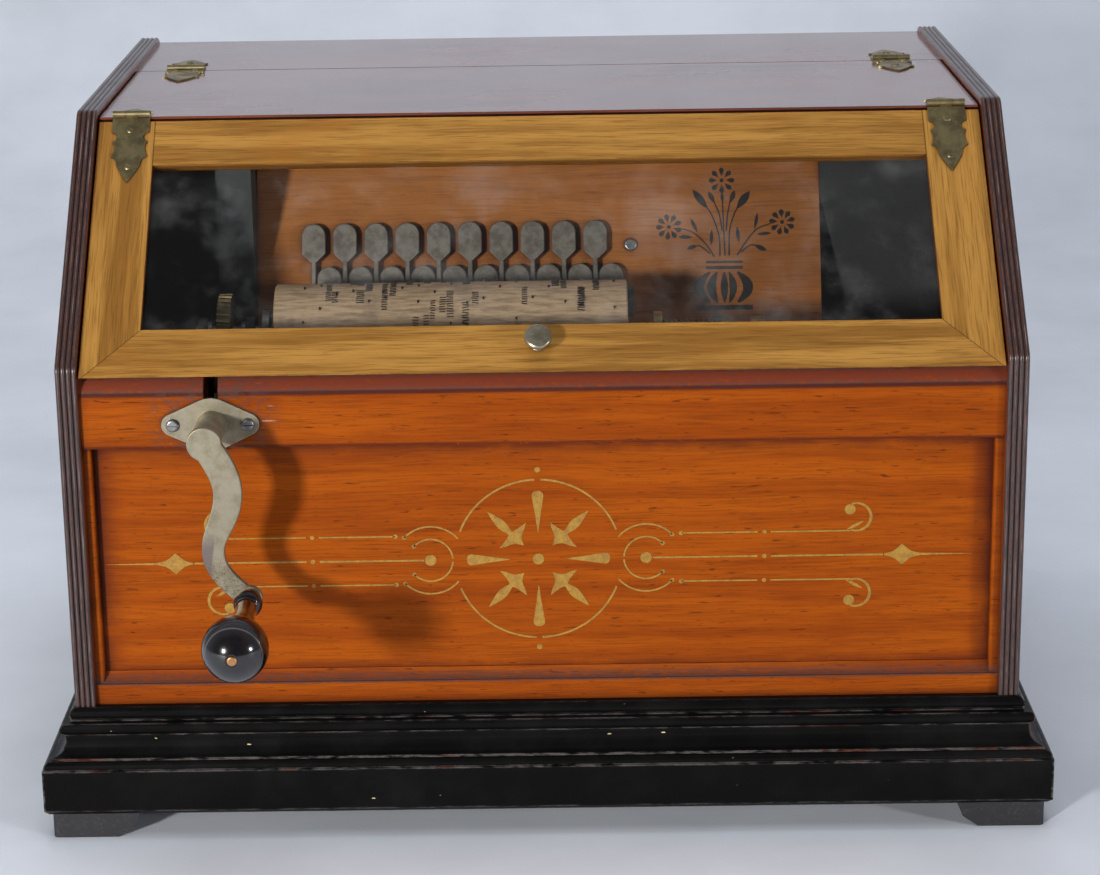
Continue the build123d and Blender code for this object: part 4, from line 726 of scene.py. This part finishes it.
def disc(centre, radius, steps=20):
    """The outline of a dot."""
    return arc(centre, radius, 0, 360 - 360 / steps, steps - 1)


def leaf(root, tip, width, fullest=0.5, steps=12):
    """The outline of a pointed leaf, widest at this share of its length."""
    da, db = tip[0] - root[0], tip[1] - root[1]
    length = math.hypot(da, db)
    side_a, side_b = -db / length, da / length
    left, right = [], []
    for step in range(steps + 1):
        t = step / steps
        bulge = math.sin(math.pi * t ** (math.log(0.5) / math.log(fullest))) * width / 2 + 0.05
        centre = (root[0] + da * t, root[1] + db * t)
        left.append((centre[0] + side_a * bulge, centre[1] + side_b * bulge))
        right.append((centre[0] - side_a * bulge, centre[1] - side_b * bulge))
    return left + right[::-1]


# ---------------------------------------------------------------- gold stencil on the front panel
STENCIL_X, STENCIL_UP = -2.7, 65.1
PAINT = 0.06  # thickness of a stencilled layer


def gold_ornament(bm):
    """The ornament is mirrored left-right and top-bottom about its centre."""

    def lay(outline):
        slab(bm, outline, lambda a, b, rise: on_panel(a + STENCIL_X, b + STENCIL_UP, rise), 0.01, PAINT)

    def four(outline):
        for sx in (1, -1):
            for sy in (1, -1):
                flipped = [(a * sx, b * sy) for a, b in outline]
                lay(flipped if sx * sy > 0 else flipped[::-1])

    def pair(outline):
        lay(outline)
        lay([(-a, b) for a, b in outline][::-1])

    four(ribbon(arc((0, 0), 37.6, 21, 88, 30), 0.9))
    lay(disc((0, 0), 2.6))
    for angle in range(0, 360, 90):
        cos, sin = math.cos(math.radians(angle)), math.sin(math.radians(angle))
        petal = [(12.5, 0.1), (20, 1.1), (27, 2.2), (30, 2.65), (31.4, 2.3), (32.1, 1.2), (32.3, 0)]
        drop = petal + [(a, -b) for a, b in reversed(petal[:-1])]
        lay([(a * cos - b * sin, a * sin + b * cos) for a, b in drop])
    for sign in (1, -1):
        lay(disc((0, 42.2 * sign), 1.3, 12))
    half = (
        curve([(22.8, 22.8), (18.8, 20.6), (14.6, 17.6), (12.0, 13.4)], 5)
        + curve([(11.4, 13.2), (9.0, 14.6), (5.4, 17.4)], 4)
        + curve([(6.0, 14.6), (7.4, 10.6), (6.4, 6.4)], 4)
    )
    four(half + [(b, a) for a, b in reversed(half[1:-1])])
    pair(disc((48.5, 0), 2.6))
    four(ribbon(arc((48.5, 0), 10.0, 42, 176, 18), 0.8))
    four(disc((48.5 + 10.0 * math.cos(math.radians(42)), 10.0 * math.sin(math.radians(42))), 1.0, 10))
    four(ribbon(arc((48.5, 0), 16.0, 43, 141, 18), 0.8))
    four(disc((48.5 + 16.0 * math.cos(math.radians(43)), 16.0 * math.sin(math.radians(43))), 1.0, 10))
    for start, end in ((51.5, 98.5), (104.5, 155)):
        pair(ribbon([(start, 0), ((start + end) / 2, 0), (end, 0)], [0.9, 0.8, 0.9]))
    pair(disc((101.6, 0), 1.1, 10))
    lozenge = curve([(155.5, 0.35), (159.5, 1.6), (163.5, 5.0)], 5) + curve(
        [(163.5, 5.0), (167.5, 1.7), (172, 0.5)], 5
    )[1:]
    lozenge += [(184, 0.3), (195, 0.05)]
    pair(lozenge + [(a, -b) for a, b in reversed(lozenge)])
    for start, end in ((64.5, 98.6), (104.4, 140.5)):
        four(ribbon([(start, 11.5), (end, 11.5)], 0.7))
    four(disc((64.2, 11.5), 1.1, 10))
    four(disc((101.6, 11.5), 1.0, 10))
    scroll = arc((142.8, 18.0), 6.5, 250, 470, 26)
    four(ribbon(scroll, [0.8 + 0.5 * math.sin(math.pi * i / 26) for i in range(27)]))
    four(disc((139.9, 21.6), 2.5, 14))
    four(leaf((138.5, 12.0), (146.0, 16.0), 1.4))


piece("gold_stencil", gold_ornament, "case", "varnished_front", GOLD)


# ---------------------------------------------------------------- black stencil on the pallet board
def ink_vase(bm):
    """A generic gadrooned vase with three daisies, sprays and leaves."""

    def lay(outline):
        slab(bm, outline, on_board, 0.01, PAINT)

    for (x, climb), petals, turn in (
        ((87.6, 64.4), 8, 0.0),
        ((61.9, 42.2), 9, 12.0),
        ((116.3, 43.8), 9, 4.0),
    ):
        lay(disc((x, climb), 1.0, 12))
        for index in range(petals):
            angle = math.radians(turn + 90 + 360 * index / petals)
            root = (x + 1.9 * math.cos(angle), climb + 1.9 * math.sin(angle))
            tip = (x + 6.3 * math.cos(angle), climb + 6.3 * math.sin(angle))
            lay(leaf(root, tip, 2.3, 0.68))
    stems = (
        [(88.6, 28.0), (88.2, 40), (87.8, 56.5)],
        [(86.2, 27.6), (85.8, 38), (82.4, 48), (80.2, 51.5)],
        [(87.4, 40), (86.2, 48), (83.6, 54.5)],
        [(90.6, 28), (91.0, 40), (93.4, 48), (95.0, 51)],
        [(89.4, 40), (90.2, 48), (91.6, 54.5)],
        [(83.4, 27.4), (80.0, 33), (74.0, 39), (67.6, 41.4)],
        [(94.4, 28.0), (98.4, 34), (104.0, 40.5), (110.8, 43.2)],
        [(81.4, 29.0), (77.0, 32.6), (73.5, 32.6)],
        [(96.4, 29.6), (100.8, 32.8), (104.8, 32.4)],
    )
    for stem in stems:
        path = curve(stem, 6)
        lay(ribbon(path, [0.75 - 0.25 * i / len(path) for i in range(len(path))]))
    for root, tip, width in (
        ((87.8, 53.5), (87.7, 58.6), 1.5),
        ((80.9, 50.5), (73.6, 60.0), 3.4),
        ((84.0, 53.4), (81.2, 59.0), 2.3),
        ((94.4, 50.2), (101.0, 59.0), 3.6),
        ((91.4, 53.2), (93.8, 59.4), 2.3),
        ((75.6, 39.2), (72.4, 46.2), 1.6),
        ((73.2, 37.0), (66.4, 37.4), 1.8),
        ((82.0, 32.6), (82.4, 40.6), 1.6),
        ((95.4, 34.0), (94.6, 41.6), 1.7),
        ((103.0, 40.4), (104.6, 48.4), 1.5),
        ((103.8, 38.0), (110.8, 38.6), 1.6),
        ((75.4, 33.0), (70.4, 31.4), 2.0),
        ((102.4, 33.0), (108.6, 30.2), 2.2),
    ):
        lay(leaf(root, tip, width, 0.55))
    lay(ribbon([(79.4, 24.9), (97.0, 24.9)], 1.1))
    lay(ribbon([(79.4, 22.2), (97.0, 22.2)], 1.5))
    for share, width in ((-0.86, 4.6), (-0.43, 4.4), (0.0, 3.6), (0.30, 3.6), (0.80, 4.8)):
        bow = [
            (88.0 + share * (8.0 + 6.2 * math.sin(math.pi * step / 14)), 20.0 - 14.6 * step / 14)
            for step in range(15)
        ]
        widths = [width * math.sin(math.pi * (0.06 + 0.88 * step / 14)) for step in range(15)]
        lay(ribbon(bow, widths))
    lay(ribbon([(74.5, 2.9), (101.5, 2.9)], 2.2))


piece("black_stencil", ink_vase, "case", "pallet_wood", INK)


# ---------------------------------------------------------------- small fittings
SCREW_SIDES = 20


def screw_head(bm, centre, normal, radius, tall, slot_turn):
    """A domed screw head with a sawn slot, standing on a surface."""
    normal = normal.normalized()
    side = normal.orthogonal().normalized()
    side.rotate(Matrix.Rotation(slot_turn, 3, normal))
    other = normal.cross(side)
    rings = []
    for share, height in ((1.0, 0.0), (1.0, 0.35), (0.82, 0.78), (0.45, 0.97)):
        ring = []
        for step in range(SCREW_SIDES):
            angle = math.tau * step / SCREW_SIDES
            spot = (side * math.cos(angle) + other * math.sin(angle)) * radius * share
            depth = 0.32 if abs(math.sin(angle)) * share < 0.2 and height > 0.5 else 0.0
            ring.append(bm.verts.new(centre + (spot + normal * (height - depth) * tall) * MM))
        rings.append(ring)
    for low, high in zip(rings, rings[1:]):
        for step in range(SCREW_SIDES):
            after = (step + 1) % SCREW_SIDES
            bm.faces.new((low[step], low[after], high[after], high[step]))
    middle = bm.verts.new(centre + normal * (0.66 * tall) * MM)
    for step in range(SCREW_SIDES):
        bm.faces.new((rings[-1][step], rings[-1][(step + 1) % SCREW_SIDES], middle))
    bm.faces.new(rings[0][::-1])


SLOPE = math.sqrt(0.5)
DOOR_HINGE_X = 188.6
LID_HINGE_X = 179.0
LEAF = 0.8  # thickness of a hinge leaf
LEAF_STANDOFF = 1.6  # from the hinge's pin to the outer face of its door leaf
SCREW_RADIUS = 1.9
SCREW_TALL = 0.7
TOP_HEIGHT = 253.0
DOOR_PIVOT = (97.08, 254.6)  # back and up
LID_PIVOT = (223.0, 254.6)


def leaf_screws(name, body, spots, normal):
    """The screws of one pair of hinge leaves."""

    def build(bm):
        for spot in spots:
            screw_head(bm, spot, normal, SCREW_RADIUS, SCREW_TALL, random.uniform(0, math.pi))

    smooth(piece(name, build, body, "hinge_brass"))


slope_normal = Vector((0, -SLOPE, SLOPE))
door_spots, lid_front_spots, lid_rear_spots, strip_spots = [], [], [], []
for side in (-1, 1):
    for away in (8.3, 28.6):
        foot = place(side * DOOR_HINGE_X, *DOOR_PIVOT)
        reach = Vector((0, -SLOPE, -SLOPE)) * away * MM
        door_spots.append(foot + reach - slope_normal * (LEAF_STANDOFF - LEAF) * MM)
    for across in (-4.4, 4.4):
        lid_front_spots.append(
            place(side * DOOR_HINGE_X + across, DOOR_PIVOT[0] + 4.6, TOP_HEIGHT + LEAF)
        )
    for across, away in ((-5.2, 5.5), (5.2, 5.5), (0, 18)):
        lid_rear_spots.append(place(side * LID_HINGE_X + across, LID_PIVOT[0] - away, TOP_HEIGHT + LEAF))
        strip_spots.append(place(side * LID_HINGE_X + across, LID_PIVOT[0] + away, TOP_HEIGHT + LEAF))
leaf_screws("door_leaf_screws", "door", door_spots, slope_normal)
leaf_screws("lid_front_leaf_screws", "lid", lid_front_spots, Vector((0, 0, 1)))
leaf_screws("lid_rear_leaf_screws", "lid", lid_rear_spots, Vector((0, 0, 1)))
leaf_screws("strip_leaf_screws", "case", strip_spots, Vector((0, 0, 1)))

# leather pads between the keys' paddles and the board
PADDLE_ROWS = (36.4, 15.6)  # how far up the board the upper and lower paddles sit
PAD_HALF = 5.0
STEM_HALF = 1.4
for index, key in enumerate(KEYS):
    key_low, key_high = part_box(key)
    middle = (key_low.x + key_high.x) / 2 / MM
    climb = PADDLE_ROWS[index % 2]

    def pad(bm, x=middle, u=climb):
        outline = arc((x, u + 3.5), PAD_HALF, 0, 180, 14)
        outline += [(x - PAD_HALF, u - 4.6), (x - STEM_HALF, u - 8.4)]
        outline += [(x + STEM_HALF, u - 8.4), (x + PAD_HALF, u - 4.6)]
        slab(bm, outline, on_board, 0.15, 2.95)

    piece(f"{key}_pad", pad, key, "key_steel", LEATHER)


# ---------------------------------------------------------------- the tune on the cob
COLUMNS = 40
FIRST_COLUMN = -113.0
COLUMN_PITCH = 3.75
ROW_TURN = 0.058  # radians round the roller from one bridge to the next
WIRE_HALF = 0.2
BOX_FACES = ((3, 2, 1, 0), (4, 5, 6, 7), (0, 1, 5, 4), (1, 2, 6, 5), (2, 3, 7, 6), (3, 0, 4, 7))


def cob_staples(bm):
    """Rows of short wire bridges lying across the roller, in bursts under each note."""
    middle = place(0, *COB_AXIS)
    for column in range(COLUMNS):
        if random.random() < 0.3:
            continue
        x = FIRST_COLUMN + COLUMN_PITCH * column + random.uniform(-0.6, 0.6)
        for _ in range(random.choice((3, 4, 5, 6))):
            start = random.uniform(0, math.tau)
            rows = random.randint(5, 13)
            width = random.uniform(2.2, 3.6)
            for row in range(rows):
                angle = start + row * ROW_TURN
                out = Vector((0, math.cos(angle), math.sin(angle)))
                along = Vector((1, 0, 0))
                up_round = along.cross(out)
                lean = random.uniform(-0.16, 0.16)
                across = (along + up_round * lean).normalized()
                centre = middle + Vector((x * MM, 0, 0)) + out * (COB_RADIUS + 0.08) * MM
                centre += along * random.uniform(-0.25, 0.25) * MM
                side = across.cross(out).normalized()
                corners = []
                for height in (-0.3, 0.22):
                    for u, v in ((-1, -1), (1, -1), (1, 1), (-1, 1)):
                        spot = across * (u * width / 2) + side * (v * WIRE_HALF) + out * height
                        corners.append(bm.verts.new(centre + spot * MM))
                for face in BOX_FACES:
                    bm.faces.new([corners[k] for k in face])


piece("cob_staples", cob_staples, "cob", "pin_steel")


# ---------------------------------------------------------------- bellows cloth with pleats
def pleated_wall(bm, corners, top, bottom_at, folds, depth):
    """Pleated cloth round a bellows: corners in order, a level top and a bottom that may slope."""
    rows = folds * 2
    rings = []
    centre = (sum(c[0] for c in corners) / len(corners), sum(c[1] for c in corners) / len(corners))
    for thickness in (0.0, 1.0):
        for row in range(rows + 1):
            ring = []
            pull = (depth if row % 2 else 0.0) + thickness
            for x, back in corners:
                bottom = bottom_at(x)
                height = top + (bottom - top) * row / rows
                toward_x = pull if x < centre[0] else -pull
                toward_back = pull if back < centre[1] else -pull
                ring.append(bm.verts.new(place(x + toward_x, back + toward_back, height)))
            rings.append(ring)
    count = len(corners)
    outer, inner = rings[: rows + 1], rings[rows + 1 :]
    for wall in (outer, inner):
        for high, low in zip(wall, wall[1:]):
            for step in range(count):
                after = (step + 1) % count
                bm.faces.new((high[step], high[after], low[after], low[step]))
    for outside, inside in ((outer[0], inner[0]), (outer[-1], inner[-1])):
        for step in range(count):
            after = (step + 1) % count
            bm.faces.new((outside[step], outside[after], inside[after], inside[step]))


DECK_UNDERSIDE = 100.0
FEEDER_HINGE = 20.0  # x of the line where the feeder's board meets the deck
FEEDER_FALL = math.tan(math.radians(10))
FOLDS = 3


def bellows(name, node, bottom_at, depth):
    """Pleated cloth in place of one plain CAD cloth, fixed to the case."""
    low, high = ((corner.x / MM, (corner.y - FRONT) / MM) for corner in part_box(node))
    corners = [low, (high[0], low[1]), high, (low[0], high[1])]
    cloth = piece(
        name,
        lambda bm: pleated_wall(bm, corners, DECK_UNDERSIDE, bottom_at, FOLDS, depth),
        "case",
        "bellows_cloth",
    )
    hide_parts(node)
    place(0, 0, DECK_UNDERSIDE)
    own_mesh(cloth)


reservoir_bottom = (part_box("reservoir_cloth")[0].z - BASE_TOP) / MM
bellows(
    "feeder_bellows",
    "feeder_cloth",
    lambda x: DECK_UNDERSIDE - (FEEDER_HINGE - x) * FEEDER_FALL,
    4.0,
)
bellows("reservoir_bellows", "reservoir_cloth", lambda x: reservoir_bottom, 5.0)

# ---------------------------------------------------------------- the tail spindle's spring
SPRING_LOW, SPRING_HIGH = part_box("tail_spring")
SPRING_TURNS = 9
SPRING_RADIUS = 2.9
SPRING_WIRE = 0.4
STEPS_PER_TURN = 20
WIRE_SIDES = 8
TAIL_EAR = 80.0


def tail_coil(bm):
    """The spring between the spindle's collar and its bracket: round wire in nine turns."""
    first, last = SPRING_LOW.x / MM + SPRING_WIRE, SPRING_HIGH.x / MM - SPRING_WIRE
    steps = SPRING_TURNS * STEPS_PER_TURN
    rings = []
    for step in range(steps + 1):
        turn = math.tau * step / STEPS_PER_TURN
        out = Vector((0, math.cos(turn), math.sin(turn)))
        centre = place(first + (last - first) * step / steps, *COB_AXIS) + out * (SPRING_RADIUS * MM)
        ring = []
        for side in range(WIRE_SIDES):
            angle = math.tau * side / WIRE_SIDES
            spoke = out * math.cos(angle) + Vector((1, 0, 0)) * math.sin(angle)
            ring.append(bm.verts.new(centre + spoke * (SPRING_WIRE * MM)))
        rings.append(ring)
    for one, two in zip(rings, rings[1:]):
        for side in range(WIRE_SIDES):
            after = (side + 1) % WIRE_SIDES
            bm.faces.new((one[side], one[after], two[after], two[side]))
    bm.faces.new(rings[0][::-1])
    bm.faces.new(rings[-1])


coil = smooth(piece("tail_coil", tail_coil, "case", "steel"))
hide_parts("tail_spring")
place(TAIL_EAR, *COB_AXIS)
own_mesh(coil)

# ---------------------------------------------------------------- floor, light and camera
FLOOR_TINT = srgb(212, 217, 226)
SHEET_FRONT = 2.5  # metres
SHEET_BEND = 0.9
SHEET_TOP = 3.2
SHEET_HALF_WIDTH = 4.0


def backdrop(bm):
    """A pale sheet that runs under the organ and curves up behind it."""
    profile = [(-SHEET_FRONT, 0.0), (SHEET_BEND, 0.0)]
    for step in range(1, 11):
        turn = math.radians(step * 9)
        profile.append((SHEET_BEND + SHEET_BEND * math.sin(turn), SHEET_BEND - SHEET_BEND * math.cos(turn)))
    profile.append((2 * SHEET_BEND, SHEET_TOP))
    rows = [
        [bm.verts.new((x, back, height)) for x in (-SHEET_HALF_WIDTH, SHEET_HALF_WIDTH)]
        for back, height in profile
    ]
    for low, high in zip(rows, rows[1:]):
        bm.faces.new((low[0], low[1], high[1], high[0]))


sheet = Shade("backdrop")
cloth_tone = sheet.noise(sheet.point, 0.006, 4.0, 0.55)
sheet.bump(sheet.noise(sheet.point, 0.01, 3.0, 0.5), 6.0, 0.25)
sheet_color = sheet.mix(cloth_tone.step(0.3, 0.75), FLOOR_TINT, tuple(part * 0.86 for part in FLOOR_TINT))
bm = bmesh.new()
backdrop(bm)
floor_mesh = bpy.data.meshes.new("floor")
bm.to_mesh(floor_mesh)
bm.free()
for polygon in floor_mesh.polygons:
    polygon.use_smooth = True
floor = bpy.data.objects.new("floor", floor_mesh)
bpy.context.scene.collection.objects.link(floor)
floor_mesh.materials.append(sheet.finish(sheet_color, 0.75))
# the sheet can't be seen from behind, so the back of the organ can
sheet_side = sheet.node("NewGeometry")
unseen = sheet.node("BsdfTransparent")
from_behind = Signal(sheet, sheet_side.outputs["Backfacing"])
one_sided = sheet.either(from_behind, sheet.bsdf.outputs[0], unseen.outputs[0])
sheet.link(one_sided, sheet.output.inputs[0])


def area_light(name, spot, target, size, power, tint, mirrored=True):
    """A soft square lamp aimed at a target, both in metres."""
    lamp = bpy.data.lights.new(name, "AREA")
    lamp.shape = "SQUARE"
    lamp.size = size
    lamp.energy = power
    lamp.color = tint
    made = bpy.data.objects.new(name, lamp)
    made.location = spot
    made.visible_glossy = mirrored
    made.rotation_euler = (Vector(target) - Vector(spot)).to_track_quat("-Z", "Y").to_euler()
    bpy.context.scene.collection.objects.link(made)


AIM = (0.0, -0.05, 0.15)  # metres
area_light("key_left", (-1.28, -1.90, 0.56), AIM, 0.2, 50, (1.0, 0.98, 0.95))
area_light("key_right", (1.79, -1.23, 0.50), AIM, 0.2, 17, (0.98, 0.98, 1.0))
area_light("backdrop_wash", (0.0, 0.3, 2.3), (0, 1.0, 0.0), 1.4, 24, (0.95, 0.97, 1.0), False)
area_light("floor_wash", (0.0, -1.0, 2.2), (0, -0.5, 0.0), 0.9, 8, (0.97, 0.98, 1.0), False)
world = bpy.data.worlds.new("studio")
world.use_nodes = True
sky = world.node_tree
sky_direction = sky.nodes.new("ShaderNodeTexCoord")
sky_split = sky.nodes.new("ShaderNodeSeparateXYZ")
sky_ramp = sky.nodes.new("ShaderNodeMapRange")
sky.links.new(sky_direction.outputs["Generated"], sky_split.inputs[0])
sky.links.new(sky_split.outputs[1], sky_ramp.inputs["Value"])
sky_ramp.inputs["From Min"].default_value = -0.5
sky_ramp.inputs["From Max"].default_value = 0.6
sky_ramp.inputs["To Min"].default_value = 0.07
sky_ramp.inputs["To Max"].default_value = 0.5
sky.nodes["Background"].inputs[0].default_value = (0.86, 0.89, 0.95, 1)
sky.links.new(sky_ramp.outputs["Result"], sky.nodes["Background"].inputs[1])
bpy.context.scene.world = world

PITCH, YAW, ROLL = 0.26535, 0.00784, -0.01608  # radians
CAMERA_PLACE = (2.5, -1150.1, 486.2)
camera_data = bpy.data.cameras.new("camera")
camera_data.sensor_width = 36.0
camera_data.lens = 89.33
camera_data.shift_x = 0.0217
camera_data.shift_y = -0.0962
camera = bpy.data.objects.new("camera", camera_data)
level = Vector((-math.sin(YAW), math.cos(YAW), 0))
forward = level * math.cos(PITCH) + Vector((0, 0, -math.sin(PITCH)))
upward = level * math.sin(PITCH) + Vector((0, 0, math.cos(PITCH)))
rightward = Vector((math.cos(YAW), math.sin(YAW), 0))
right = rightward * math.cos(ROLL) + upward * math.sin(ROLL)
top = rightward * -math.sin(ROLL) + upward * math.cos(ROLL)
turned = Matrix((right, top, -forward)).transposed().to_4x4()
camera.matrix_world = Matrix.Translation(place(*CAMERA_PLACE)) @ turned
bpy.context.scene.collection.objects.link(camera)
bpy.context.scene.camera = camera
bpy.context.scene.view_settings.view_transform = "Standard"
